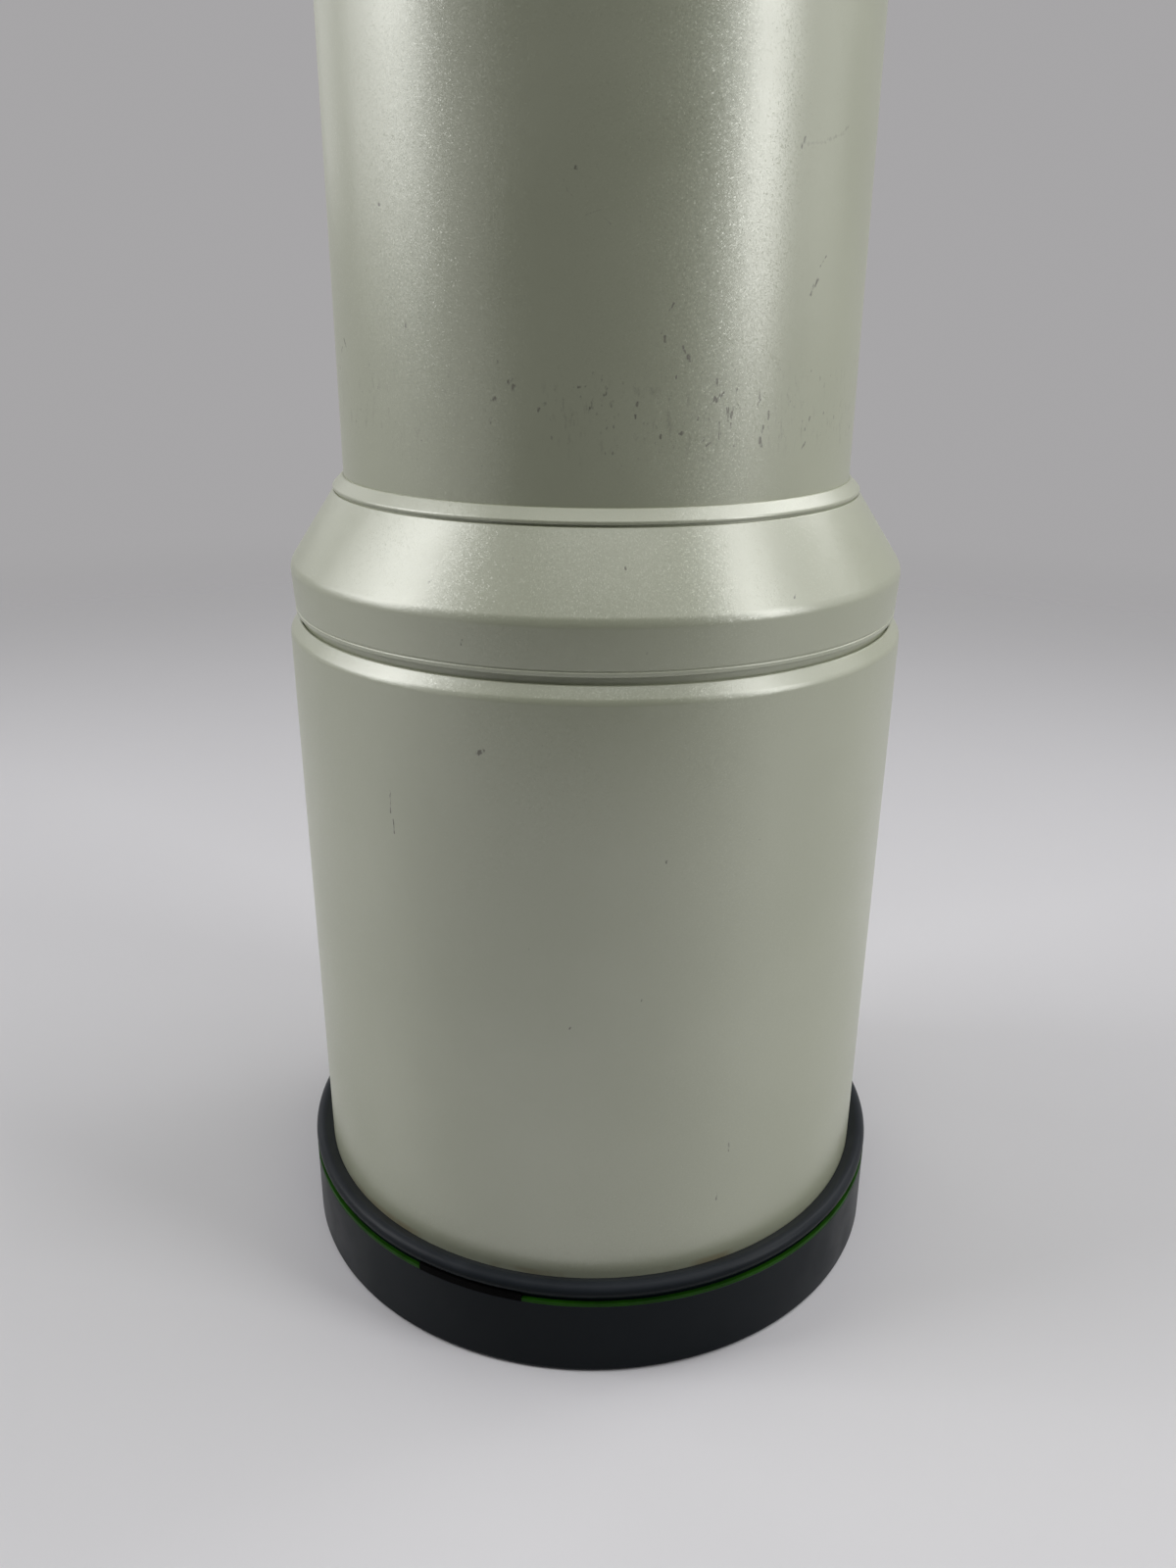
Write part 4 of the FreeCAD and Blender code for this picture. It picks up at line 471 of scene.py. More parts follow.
def ring_rubber():
    """The smooth black rubber of the hood's front ring, lighter where it faces up: partly a dusty
    bloom, partly a painted highlight on the bead.
    """
    web = Finish("ring rubber", specular_ior_level=0.12)
    colour = web.blend(web.mottle(35, 0, 0.5), RUBBER_BLACK, RUBBER_DUSTY)
    # Upward faces turn lighter: partly a dusty bloom, partly a painted highlight on the bead
    upward = web.add("ShaderNodeSeparateXYZ", {"Vector": web.facing()}).outputs["Z"]
    patches = web.between(web.noise(45, 3.0), 0.3, 0.6, 0.5, 1)
    colour = web.blend(web.times(web.between(upward, 0.05, 0.75), patches), colour, RUBBER_BLOOM_AND_HIGHLIGHT)
    specks = web.effect("specks", scale=420, size=0.10, share=0.05)
    colour = web.blend(web.times(specks, 0.25), colour, DUST)
    grain = web.effect("moulded grain", scale=2400)
    return web.done(colour, web.mottle(90, 0.33, 0.42), grain, 0.01, 0.3)


def stripe_enamel(name, colour, shade):
    """Thin coloured enamel in a groove or a line, slightly uneven."""
    web = Finish(name, specular_ior_level=0.10)
    colour = web.blend(web.mottle(120), colour, shade)
    return web.done(colour, web.mottle(260, 0.46, 0.56), web.effect("spray peel", scale=900), 0.01, 0.4)


def plate_black():
    """The dead black insert in the stripe."""
    web = Finish("plate black", specular_ior_level=0.03)
    colour = web.blend(web.mottle(150, 0, 0.4), PLATE_BLACK, (0.003, 0.003, 0.003, 1))
    grain = web.effect("moulded grain", scale=3000)
    return web.done(colour, web.mottle(300, 0.6, 0.75), grain, 0.01, 0.3)


def anodised(name, base=ANODISED, marks_scale=2200, roughness=0.38):
    """Black anodised aluminium, turned, with edges rubbed to bare metal."""
    web = Finish(name, metallic=0.55)
    wear = web.effect("edge wear", width=0.4 * MM, amount=0.5)
    hair = web.effect("hairlines", scale=110, amount=0.2)
    colour = web.blend(web.strongest(wear, hair), base, ANODISED_WORN)
    rings = web.effect("turning marks", scale=marks_scale)
    return web.done(colour, web.mottle(80, roughness, roughness + 0.1), rings, 0.02, 0.35)


def turned_metal(name, colour, roughness, tarnish, marks_scale=2600, depth=0.35):
    """Bare turned metal with lathe rings, faint tarnish and hairlines."""
    web = Finish(name, metallic=1.0)
    colour = web.blend(web.mottle(60, 0, 0.5), colour, tarnish)
    hair = web.effect("hairlines", scale=130, amount=0.3)
    rough = web.calc("ADD", web.mottle(90, roughness, roughness + 0.08), web.times(hair, 0.2))
    return web.done(colour, rough, web.effect("turning marks", scale=marks_scale), 0.02, depth)


def grip_rubber():
    """The ribbed focus sleeve: dull black rubber with dust that stays in it."""
    web = Finish("grip rubber", sheen_weight=0.08, sheen_roughness=0.6)
    colour = web.blend(web.mottle(60, 0.1, 0.6), (0.012, 0.012, 0.013, 1), (0.034, 0.034, 0.035, 1))
    wear = web.effect("edge wear", width=0.5 * MM, amount=0.2)
    colour = web.blend(wear, colour, DUST)
    grain = web.effect("moulded grain", scale=1900)
    return web.done(colour, web.mottle(120, 0.56, 0.72), grain, 0.03, 0.5)


def soft_rubber(name):
    """Plain soft rubber for the buttons and the weather seal."""
    web = Finish(name, sheen_weight=0.05)
    colour = web.blend(web.mottle(200, 0, 0.5), (0.014, 0.014, 0.015, 1), RUBBER_DUSTY)
    grain = web.effect("moulded grain", scale=3200)
    return web.done(colour, web.mottle(260, 0.50, 0.64), grain, 0.01, 0.4)


def panel_plastic():
    """Fine-grained black plastic of the switch panel and its knobs."""
    web = Finish("panel plastic", specular_ior_level=0.4)
    wear = web.effect("edge wear", width=0.5 * MM, amount=0.6)
    colour = web.blend(wear, PLASTIC, (0.06, 0.06, 0.062, 1))
    grain = web.effect("moulded grain", scale=2000)
    return web.done(colour, web.mottle(150, 0.38, 0.48), grain, 0.03, 0.5)


def fibre(name, colour, scale):
    """Flocking or felt: a dull nap of short fibres."""
    web = Finish(name, sheen_weight=0.35, sheen_roughness=0.5, specular_ior_level=0.1)
    colour = web.blend(web.mottle(180), colour, (0.016, 0.016, 0.017, 1))
    nap = web.noise(scale, 4.0)
    return web.done(colour, web.between(nap, 0.3, 0.7, 0.85, 1.0), nap, 0.2, 0.8)


def coated_glass():
    """Optical glass with a thin coating, and a few specks of dust on it."""
    web = Finish("coated glass", transmission_weight=1.0, ior=1.52,
                 thin_film_thickness=118.0, thin_film_ior=1.38)
    specks = web.effect("specks", scale=190, size=0.05, share=0.08)
    colour = web.blend(specks, (0.97, 1.0, 0.98, 1), (0.6, 0.6, 0.6, 1))
    rough = web.calc("ADD", web.mottle(40, 0.0, 0.015), web.times(specks, 0.4))
    return web.done(colour, rough, web.noise(60, 1.0), 0.01, 0.05)


def blade_steel():
    """Blued spring steel of the aperture blades, dry lubricated."""
    web = Finish("blade steel", metallic=0.7)
    colour = web.blend(web.mottle(110, 0, 0.6), BLADE, (0.055, 0.050, 0.060, 1))
    return web.done(colour, web.mottle(160, 0.34, 0.46), web.noise(2600), 0.01, 0.3)


make_effects()

PAINT = pearl_paint("pearl paint")
LINED_PAINT = pearl_paint("pearl paint, black inside", lined=True)
TUBE_PAINT = pearl_paint("pearl paint of the tube", TUBE_MARKS, TUBE_SCRATCHES, scuffs=True,
                         lined=True)
HOOD_PAINT = pearl_paint("pearl paint of the hood", HOOD_MARKS, stain_and_shade=True)
FLARE_PAINT = pearl_paint("pearl paint of the flare", FLARE_MARKS)
WHITE_MARK = stripe_enamel("white marking", MARK_WHITE, (0.60, 0.60, 0.58, 1))
GREEN_MARK = stripe_enamel("green marking", MARK_GREEN, (0.030, 0.180, 0.012, 1))

FINISHES = {
    "pearl_paint": PAINT,
    "black_rubber_ring": ring_rubber(),
    "stripe_green": stripe_enamel("stripe enamel", STRIPE_GREEN, STRIPE_SHADE),
    "plate_black": plate_black(),
    "flock": fibre("flocking", FLOCK, 3200),
    "felt": fibre("felt", FELT, 2200),
    "black_anodised": anodised("black anodised"),
    "coated_glass": coated_glass(),
    "grip_rubber": grip_rubber(),
    "cam_brass": turned_metal("cam brass", BRASS, 0.28, (0.40, 0.28, 0.12, 1)),
    "satin_steel": turned_metal("satin steel", STEEL, 0.30, (0.40, 0.40, 0.39, 1)),
    "black_screw": anodised("black screw", (0.020, 0.020, 0.021, 1), 3000, 0.30),
    "panel_plastic": panel_plastic(),
    "button_rubber": soft_rubber("button rubber"),
    "knob_black": anodised("knob black", (0.014, 0.014, 0.015, 1), 2600, 0.34),
    "blade_steel": blade_steel(),
    "bayonet_chrome": turned_metal("bayonet chrome", CHROME, 0.16, (0.46, 0.46, 0.45, 1), 1500, 0.6),
    "contact_gold": turned_metal("contact gold", GOLD, 0.16, (0.70, 0.46, 0.16, 1), 3200, 0.15),
    "seal_rubber": soft_rubber("seal rubber"),
}
BLACK_MARK = FINISHES["plate_black"]

# How finely round pieces are divided, when an edge counts as sharp or flat, and how near
# two spots count as one
TURN_STEPS = 256
SHARP_ANGLE = math.radians(34)
FLAT_ANGLE = math.radians(0.4)
WELD = 0.001 * MM
NEAR = 0.002 * MM

body_of_node = {node: body for body, nodes in frame["record"]["behaviour"]["bodies"].items()
                for node in nodes}
slot_of_node = {part["node"]: part["material_slot"] for part in frame["record"]["subparts"]}


def dress_frame():
    """Give every part of the frame its own finish."""
    for name, part in frame["nodes"].items():
        for slot in part.material_slots:
            slot.material = LINED_PAINT if name == "rear_barrel" else FINISHES[slot_of_node[name]]


def in_scene(name, bm, finish):
    """A mesh with one finish, as an object in the scene."""
    mesh = bpy.data.meshes.new(name)
    bm.to_mesh(mesh)
    bm.free()
    mesh.materials.append(finish)
    added = bpy.data.objects.new(name, mesh)
    bpy.context.scene.collection.objects.link(added)
    return added


def add_piece(name, bm, body, finish, nodes=()):
    """Put a finished mesh into the scene, to move with a body and stand for CAD parts."""
    bmesh.ops.recalc_face_normals(bm, faces=bm.faces)
    for face in bm.faces:
        face.smooth = True
    for edge in bm.edges:
        edge.smooth = edge.calc_face_angle(0) < SHARP_ANGLE
    added = in_scene(name, bm, finish)
    attributes = added.data.attributes
    if "custom_normal" in attributes:
        attributes.remove(attributes["custom_normal"])
    added.modifiers.new("even_shading", "WEIGHTED_NORMAL").keep_sharp = True
    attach(added, body)
    if nodes:
        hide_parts(*nodes)


def stand_in(name, node, bm, finish=None):
    """Add a finer mesh that takes the place of one CAD part."""
    slot = slot_of_node[node]
    add_piece(name, bm, body_of_node[node], finish or FINISHES[slot], (node,))


def extent(node):
    """A turned part's outer radius, and its lowest and highest point, in mm."""
    low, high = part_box(node)
    return high.x / MM, low.z / MM, high.z / MM


def turned(outline, steps=TURN_STEPS):
    """A mesh turned about the Z axis from a closed outline of corners in mm. A corner is
    (radius, height), or (radius, height, ease) where the rim there is rounded."""
    bm = bmesh.new()
    verts = [bm.verts.new((corner[0] * MM, 0, corner[1] * MM)) for corner in outline]
    edges = [bm.edges.new((verts[index - 1], verts[index])) for index in range(len(verts))]
    bmesh.ops.spin(bm, geom=verts + edges, cent=(0, 0, 0), axis=(0, 0, 1), dvec=(0, 0, 0),
                   angle=math.tau, steps=steps, use_merge=True, use_duplicate=False)
    bmesh.ops.remove_doubles(bm, verts=bm.verts, dist=WELD)
    eased = [corner for corner in outline if len(corner) == 3]
    for ease in sorted({corner[2] for corner in eased}):
        spots = [(corner[0] * MM, corner[1] * MM) for corner in eased if corner[2] == ease]
        bevel(bm, [edge for edge in bm.edges if on_a_rim(edge, spots)], ease)
    return bm


def on_a_rim(edge, spots):
    """Whether an edge runs round the axis at one of the given (radius, height) spots."""
    first, last = (vert.co for vert in edge.verts)
    if abs(first.z - last.z) > NEAR:
        return False
    for radius, height in spots:
        if abs(first.z - height) < NEAR:
            if all(abs(math.hypot(spot.x, spot.y) - radius) < NEAR for spot in (first, last)):
                return True
    return False


def bevel(bm, edges, width, segments=3):
    """Round the given edges by a width in mm."""
    bmesh.ops.bevel(bm, geom=edges, offset=width * MM, offset_type="OFFSET", affect="EDGES",
                    segments=segments, profile=0.5, material=-1, clamp_overlap=True)


def eased_copy(node, width, segments=2):
    """A CAD part's mesh, merged, with its outer sharp edges rounded."""
    bm = bmesh.new()
    bm.from_mesh(frame["nodes"][node].data)
    bmesh.ops.remove_doubles(bm, verts=bm.verts, dist=WELD)
    bmesh.ops.dissolve_limit(bm, angle_limit=FLAT_ANGLE, use_dissolve_boundaries=False,
                             verts=bm.verts, edges=bm.edges)
    bevel(bm, outer_edges(bm), width, segments)
    return bm


def outer_edges(bm, angle=SHARP_ANGLE):
    """The sharp edges of a mesh that point outwards."""
    return [edge for edge in bm.edges
            if edge.is_manifold and edge.is_convex and edge.calc_face_angle() > angle]


def arc(centre, height, radius, first, last, steps):
    """Corners of an outline along an arc, its angles in degrees from outward towards up."""
    turns = [math.radians(first + (last - first) * step / steps) for step in range(steps + 1)]
    return [(centre + radius * math.cos(turn), height + radius * math.sin(turn)) for turn in turns]


def joined(meshes):
    """Several meshes as one."""
    whole = bmesh.new()
    for bm in meshes:
        part = bpy.data.meshes.new("part")
        bm.to_mesh(part)
        bm.free()
        whole.from_mesh(part)
        bpy.data.meshes.remove(part)
    return whole


def spun(degrees, axis):
    """A turn about an axis through the origin."""
    return Matrix.Rotation(math.radians(degrees), 4, axis)


def placed_copies(part, places):
    """Copies of a small mesh as one, each moved to its place."""
    copies = []
    for place in places:
        copy = part.copy()
        copy.transform(place)
        copies.append(copy)
    part.free()
    return joined(copies)


def inner_corners(low, high, inset):
    """The four spots a little way in from the corners of a rectangle."""
    return [(first, second) for first in (low[0] + inset, high[0] - inset)
            for second in (low[1] + inset, high[1] - inset)]


def block(low, high, ease=0.0):
    """A box between two corners in metres, with its edges rounded by a width in mm."""
    bm = bmesh.new()
    bmesh.ops.create_cube(bm, size=1)
    low, high = Vector(low), Vector(high)
    bmesh.ops.scale(bm, vec=high - low, verts=bm.verts)
    bmesh.ops.translate(bm, vec=(low + high) / 2, verts=bm.verts)
    if ease:
        bevel(bm, bm.edges[:], ease)
    return bm


def hood_barrel():
    """The sliding hood, its rear rim bevelled and turned in over the flare's neck."""
    radius, low, top = extent("hood_tube")
    bore, foot_radius = radius - 1.4, radius - 0.6
    bevel_foot, bevel_radius = top - 2.4, radius - 1.7
    mouth, lip = radius - 2.1, top - 3.0
    stand_in("hood_barrel", "hood_tube", turned([
        (bore, low), (foot_radius, low), (radius, bevel_foot, 0.7), (bevel_radius, top, 0.2),
        (mouth, top, 0.15), (mouth, lip), (bore, lip),
    ]), HOOD_PAINT)


def hood_ring():
    """The black front ring: a smooth wall, a groove for the stripe and a round bead."""
    radius, low, top = extent("hood_front_ring")
    stripe_low, groove_floor = 16.6, radius - 0.8
    bead, bead_from, bead_to, bead_steps = 1.6, -60, 126, 15
    lip, lip_top, lip_low = 61.15, top - 0.95, top - 1.6
    seat, seat_top, seat_low, mouth = 61.65, top - 1.9, 6.0, 59.4
    stand_in("hood_ring", "hood_front_ring", turned([
        (mouth, low, 0.4), (radius, low, 1.0), (radius, stripe_low, 0.15),
        (groove_floor, stripe_low),
        *arc(radius - bead, top - bead, bead, bead_from, bead_to, bead_steps),
        (lip, lip_top), (lip, lip_low), (seat, seat_top), (seat, seat_low), (mouth, seat_low),
    ]))
    stand_in("stripe", "hood_stripe", eased_copy("hood_stripe", 0.12))
    stand_in("stripe_insert", "hood_stripe_plate", eased_copy("hood_stripe_plate", 0.08))


def flare():
    """The conical flare with its tapered band, and a fine line cut near the band's lower edge."""
    radius, low, top = extent("flare_casing")
    band_low, band_top = 142.4, 151.5
    band_foot = radius - 0.5
    line_low, line_width, line_depth = 143.15, 0.45, 0.16
    line_radius = band_foot + 0.04
    neck, cone_end, seat_low, inside_top = 59.2, 51.7, 153.0, 150.0
    inside, tube_seat, tube_bore = 58.05, 49.55, 47.5
    stand_in("flare", "flare_casing", turned([
        (inside, low), (neck, low), (neck, band_low), (band_foot, band_low, 0.22),
        (line_radius, line_low, 0.05), (line_radius - line_depth, line_low + line_width * 0.3),
        (line_radius - line_depth, line_low + line_width * 0.7),
        (line_radius, line_low + line_width, 0.05), (radius, band_top, 1.1), (cone_end, top, 0.2),
        (tube_seat, top), (tube_seat, seat_low), (tube_bore, seat_low), (tube_bore, inside_top),
        (inside, inside_top),
    ]), FLARE_PAINT)


def collar():
    """The bright chamfered collar where the flare meets the tube, over a dark seam."""
    radius, low, top = extent("tube_collar")
    bore, seam, chamfer_end = 49.55, radius - 0.5, 49.85
    seam_top, face_top = low + 0.4, low + 0.9
    stand_in("collar", "tube_collar", turned([
        (bore, low), (seam, low), (seam, seam_top), (radius, seam_top, 0.12),
        (radius, face_top, 0.2), (chamfer_end, top, 0.15), (bore, top),
    ]))


def tube():
    """The long plain tube."""
    radius, low, top = extent("main_tube")
    bore, bulkhead_bore, bulkhead = radius - 2.0, 42.05, 3.0
    stand_in("tube", "main_tube", turned([
        (bore, low), (radius, low), (radius, top, 0.3), (bulkhead_bore, top),
        (bulkhead_bore, top - bulkhead), (bore, top - bulkhead),
    ]), TUBE_PAINT)


def front_thread():
    """The front barrel, with the fine thread for a filter cut in its mouth."""
    radius, low, top = extent("front_barrel")
    bore, bezel_seat, glass_bore, flange_bore = 56.0, 55.05, 52.95, 50.0
    felt_seat, felt_low, felt_top = radius - 1.0, 24.0, 31.0
    rear_bore, glass_low, flange_low, flange_top = radius - 3.0, 17.0, 47.5, 50.5
    thread_end, first_turn, pitch, depth, turns = low + 6.0, low + 0.6, 0.75, 0.4, 6
    thread = []
    for turn in range(turns, 0, -1):
        rise = first_turn + pitch * turn
        thread += [(bore, rise), (bore + depth, rise - pitch / 2)]
    stand_in("front_thread", "front_barrel", turned([
        (bore + 0.3, low), (radius, low, 0.3), (radius, felt_low), (felt_seat, felt_low),
        (felt_seat, felt_top), (radius, felt_top), (radius, top), (rear_bore, top),
        (rear_bore, flange_top), (flange_bore, flange_top), (flange_bore, flange_low),
        (glass_bore, flange_low), (glass_bore, glass_low), (bezel_seat, glass_low),
        (bezel_seat, thread_end), (bore, thread_end), *thread, (bore, first_turn),
    ]))


def focus_sleeve():
    """The focus ring and the ribbed rubber sleeve on it."""
    radius, low, top = extent("focus_ring")
    bore, web_bore, web_low, web_top = radius - 2.0, 44.45, 296.0, 302.0
    _, sleeve_low, sleeve_top = extent("focus_grip")
    cut, gap = 0.4, 0.5
    stand_in("focus_sleeve", "focus_ring", turned([
        (bore, low), (radius, low, 0.35), (radius, sleeve_low - gap),
        (radius - cut, sleeve_low - gap), (radius - cut, sleeve_top + gap),
        (radius, sleeve_top + gap), (radius, top, 0.35), (bore, top), (bore, web_top),
        (web_bore, web_top), (web_bore, web_low), (bore, web_low),
    ]))
    stand_in("focus_ribs", "focus_grip", eased_copy("focus_grip", 0.32, 3))


def eased_parts():
    """The parts whose CAD shape is right and only lacks its rounded edges."""
    stand_in("button_barrel", "middle_barrel", eased_copy("middle_barrel", 0.25), LINED_PAINT)
    for name, node, width, segments in (
        ("collar_ring", "tripod_collar", 0.4, 3),
        ("foot", "collar_foot", 0.7, 3),
        ("knob", "clamp_knob", 0.3, 2),
        ("strap_eyes", "strap_lugs", 0.5, 3),
        ("panel", "switch_panel", 0.25, 2),
        ("bayonet", "mount_ring", 0.14, 2),
        ("contacts", "mount_contacts", 0.2, 3),
        ("camera_seal", "mount_seal", 0.3, 2),
        ("lever", "aperture_lever", 0.2, 2),
    ):
        stand_in(name, node, eased_copy(node, width, segments))
    for number in range(1, 5):
        node = "focus_button_%d" % number
        stand_in("button_%d" % number, node, eased_copy(node, 0.25, 3))


def sliders():
    """The two switch knobs, with grip ridges across their tops."""
    ridge, ridge_count = 0.4 * MM, 4
    for name, node in (("mode_slider", "focus_mode_switch"), ("limit_slider", "focus_limit_switch")):
        low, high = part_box(node)
        span = high - low
        middle = (low + high) / 2
        half = Vector((0, span.y * 0.37, span.z * 0.045))
        bars = [block(low, (high.x - ridge, high.y, high.z), 0.7)]
        for step in range(ridge_count):
            height = middle.z + (step - (ridge_count - 1) / 2) * span.z * 0.19
            foot = Vector((high.x - ridge * 2, middle.y, height))
            bars.append(block(foot - half, Vector((high.x, middle.y, height)) + half, 0.15))
        stand_in(name, node, joined(bars))


def sink_loop(bm, loop, depth):
    """Pull the edges of a loop of vertices down by a depth in mm, and close them there."""
    loop = set(loop)
    edges = [edge for edge in bm.edges if all(vert in loop for vert in edge.verts)]
    walls = bmesh.ops.extrude_edge_only(bm, edges=edges)["geom"]
    lower = {part for part in walls if isinstance(part, bmesh.types.BMVert)}
    bmesh.ops.translate(bm, vec=(0, 0, -depth * MM), verts=list(lower))
    floor = [part for part in walls if isinstance(part, bmesh.types.BMEdge)
             and all(vert in lower for vert in part.verts)]
    bmesh.ops.contextual_create(bm, geom=floor)


def screw_shank(radius, start, length):
    """The plain rod of a screw, down from a start below its face."""
    bm = bmesh.new()
    bmesh.ops.create_cone(bm, cap_ends=True, segments=24, radius1=radius * MM,
                          radius2=radius * MM, depth=length * MM)
    bmesh.ops.translate(bm, vec=(0, 0, -(start + length / 2) * MM), verts=bm.verts)
    return bm


def socket_screw(head_radius, head, shank, length):
    """A socket-head screw about Z with its face at 0: rounded rim and hexagonal socket."""
    bm = bmesh.new()
    rim = bmesh.ops.create_circle(bm, segments=24, radius=head_radius * MM)["verts"]
    hexagon = bmesh.ops.create_circle(bm, segments=6, radius=head_radius * MM / 2)["verts"]
    bmesh.ops.bridge_loops(bm, edges=bm.edges[:])
    sink_loop(bm, hexagon, head * 0.6)
    sink_loop(bm, rim, head)
    bmesh.ops.recalc_face_normals(bm, faces=bm.faces)
    bevel(bm, outer_edges(bm, 1.0), 0.2)
    return joined([bm, screw_shank(shank, head, length - head)])


def foot_screws():
    """The four socket-head screws that hold the foot."""
    low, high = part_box("foot_screws")
    head_radius, head, shank = 2.6, 2.5, 1.5
    face_out = spun(-90, "X")
    places = [Matrix.Translation((across, high.y, up)) @ face_out
              for across, up in inner_corners(low.xz, high.xz, head_radius * MM)]
    screw = socket_screw(head_radius, head, shank, (high.y - low.y) / MM)
    stand_in("socket_screws", "foot_screws", placed_copies(screw, places))


def cross_screw(head_radius, head, shank, length):
    """A screw about Z with its face at 0 and a crossed slot in it."""
    slot_half, slot_reach, slot_depth = head_radius * 0.15, head_radius * 0.6, head / 2
    bm = bmesh.new()
    bmesh.ops.create_circle(bm, cap_ends=True, segments=32, radius=head_radius * MM)
    for normal in (Vector((1, 0, 0)), Vector((0, 1, 0))):
        for offset in (-slot_reach, -slot_half, slot_half, slot_reach):
            bmesh.ops.bisect_plane(bm, geom=bm.verts[:] + bm.edges[:] + bm.faces[:],
                                   plane_co=normal * offset * MM, plane_no=normal)
    cross = []
    for face in bm.faces:
        spot = face.calc_center_median()
        far, near = max(abs(spot.x), abs(spot.y)), min(abs(spot.x), abs(spot.y))
        if far < slot_reach * MM and near < slot_half * MM:
            cross.append(face)
    rim = [vert for vert in bm.verts if vert.is_boundary]
    sunk = bmesh.ops.extrude_face_region(bm, geom=cross)["geom"]
    floor = [part for part in sunk if isinstance(part, bmesh.types.BMVert)]
    bmesh.ops.translate(bm, vec=(0, 0, -slot_depth * MM), verts=floor)
    sink_loop(bm, rim, head)
    return joined([bm, screw_shank(shank, head, length - head)])


def mount_screws():
    """The five screws of the mount ring, each with its slot turned another way."""
    low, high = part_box("mount_screws")
    circle, count = 28.8 * MM, 5
    places = []
    for number in range(count):
        turn = math.tau / count * number
        place = Matrix.Translation((circle * math.cos(turn), circle * math.sin(turn), high.z))
        places.append(place @ Matrix.Rotation(turn * 1.7, 4, "Z"))
    head_radius, head, shank = 1.9, 1.2, 1.0
    screw = cross_screw(head_radius, head, shank, (high.z - low.z) / MM)
    stand_in("cross_screws", "mount_screws", placed_copies(screw, places))


def panel_screws():
    """The four small screws at the corners of the switch panel."""
    low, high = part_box("switch_panel")
    inset, proud = 2.6 * MM, 0.12 * MM
    face_out = spun(90, "Y")
    places = []
    for across, up in inner_corners(low.yz, high.yz, inset):
        slant = Matrix.Rotation(across * 90 + up * 50, 4, "Z")
        places.append(Matrix.Translation((high.x + proud, across, up)) @ face_out @ slant)
    head_radius, head, shank, length = 1.1, 0.5, 0.5, 1.5
    screws = placed_copies(cross_screw(head_radius, head, shank, length), places)
    add_piece("panel_screws", screws, "barrel", FINISHES["satin_steel"])


def foot_threads():
    """The cut threads in the foot's two tripod holes."""
    _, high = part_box("collar_foot")
    depth, mouth, clearance = 7.4, 0.1, 0.02
    first_turn, run_out, chamfer = mouth + 0.2, 0.4, 0.15
    root, crest = 0.15, 0.62
    for name, radius, pitch, height in (
        ("large_thread", 4.7625, 1.5875, 318.0),
        ("small_thread", 3.175, 1.27, 342.0),
    ):
        wall = radius - clearance
        outline = [(wall, mouth), (wall, depth)]
        for turn in range(int((depth - run_out) / pitch), 0, -1):
            foot = first_turn + pitch * (turn - 1)
            outline += [(wall - root, foot + pitch * 0.9), (wall - crest, foot + pitch * 0.5)]
        outline.append((wall - root, mouth + chamfer))
        bm = turned(outline, 64)
        bm.transform(Matrix.Translation((0, high.y, height * MM)) @ spun(90, "X"))
        add_piece(name, bm, "tripod_collar", FINISHES["satin_steel"])


# How far a painted mark goes into the surface and stands proud of it, in mm
MARK_SINK = 0.05
MARK_RISE = 0.04
INFINITY = "∞"


def wrapped(bm, radius, azimuth, height):
    """Lay a flat mesh, made about the origin with its face up, on the barrel. Its top points
    to the front of the lens, as it is read from behind the camera."""
    for vert in bm.verts:
        across, up, lift = vert.co
        turn = math.radians(azimuth) - across / (radius * MM)
        out = radius * MM + lift
        vert.co = (out * math.cos(turn), out * math.sin(turn), height * MM - up)
    return bm


def line_mark(radius, azimuth, height, length, width):
    """One line along the barrel, centred at a height."""
    half = Vector((width / 2, length / 2, 0)) * MM
    sink, rise = Vector((0, 0, -MARK_SINK)) * MM, Vector((0, 0, MARK_RISE)) * MM
    return wrapped(block(sink - half, rise + half), radius, azimuth, height)


def figure(words, letter_height, radius, azimuth, height):
    """A plain number on the barrel."""
    curve = bpy.data.curves.new("figure", "FONT")
    curve.body = words
    curve.size = letter_height * MM
    curve.align_x = curve.align_y = "CENTER"
    curve.extrude = (MARK_SINK + MARK_RISE) / 2 * MM
    holder = bpy.data.objects.new("figure", curve)
    mesh = bpy.data.meshes.new_from_object(holder)
    bm = bmesh.new()
    bm.from_mesh(mesh)
    bmesh.ops.remove_doubles(bm, verts=bm.verts, dist=WELD)
    bmesh.ops.translate(bm, vec=(0, 0, (MARK_RISE - MARK_SINK) / 2 * MM), verts=bm.verts)
    bpy.data.objects.remove(holder)
    bpy.data.curves.remove(curve)
    bpy.data.meshes.remove(mesh)
    return wrapped(bm, radius, azimuth, height)


def distance_scale():
    """Distances in metres round the front of the focus ring, and the line they are read by."""
    radius, low, _ = extent("focus_ring")
    distances = (INFINITY, "40", "20", "15", "10", "8", "7", "6")
    index_azimuth, scale_turn = -90, 150
    figure_height, figure_up = 4.2, low + 4.6
    tick_length, tick_width, tick_up = 1.2, 0.35, low + 1.2
    unit_height, unit_azimuth = 3.4, index_azimuth + 8
    figures = []
    ticks = []
    for number, distance in enumerate(distances):
        azimuth = index_azimuth - number * scale_turn / (len(distances) - 1)
        figures.append(figure(distance, figure_height, radius, azimuth, figure_up))
        ticks.append(line_mark(radius, azimuth, tick_up, tick_length, tick_width))
    figures.append(figure("m", unit_height, radius, unit_azimuth, figure_up))
    add_piece("distance_figures", joined(figures), "focus_ring", WHITE_MARK)
    add_piece("distance_ticks", joined(ticks), "focus_ring", GREEN_MARK)
    tube_radius, _, tube_end = extent("main_tube")
    index = line_mark(tube_radius, index_azimuth, tube_end - 2.6, 4.0, 0.6)
    add_piece("focus_index", index, "barrel", BLACK_MARK)


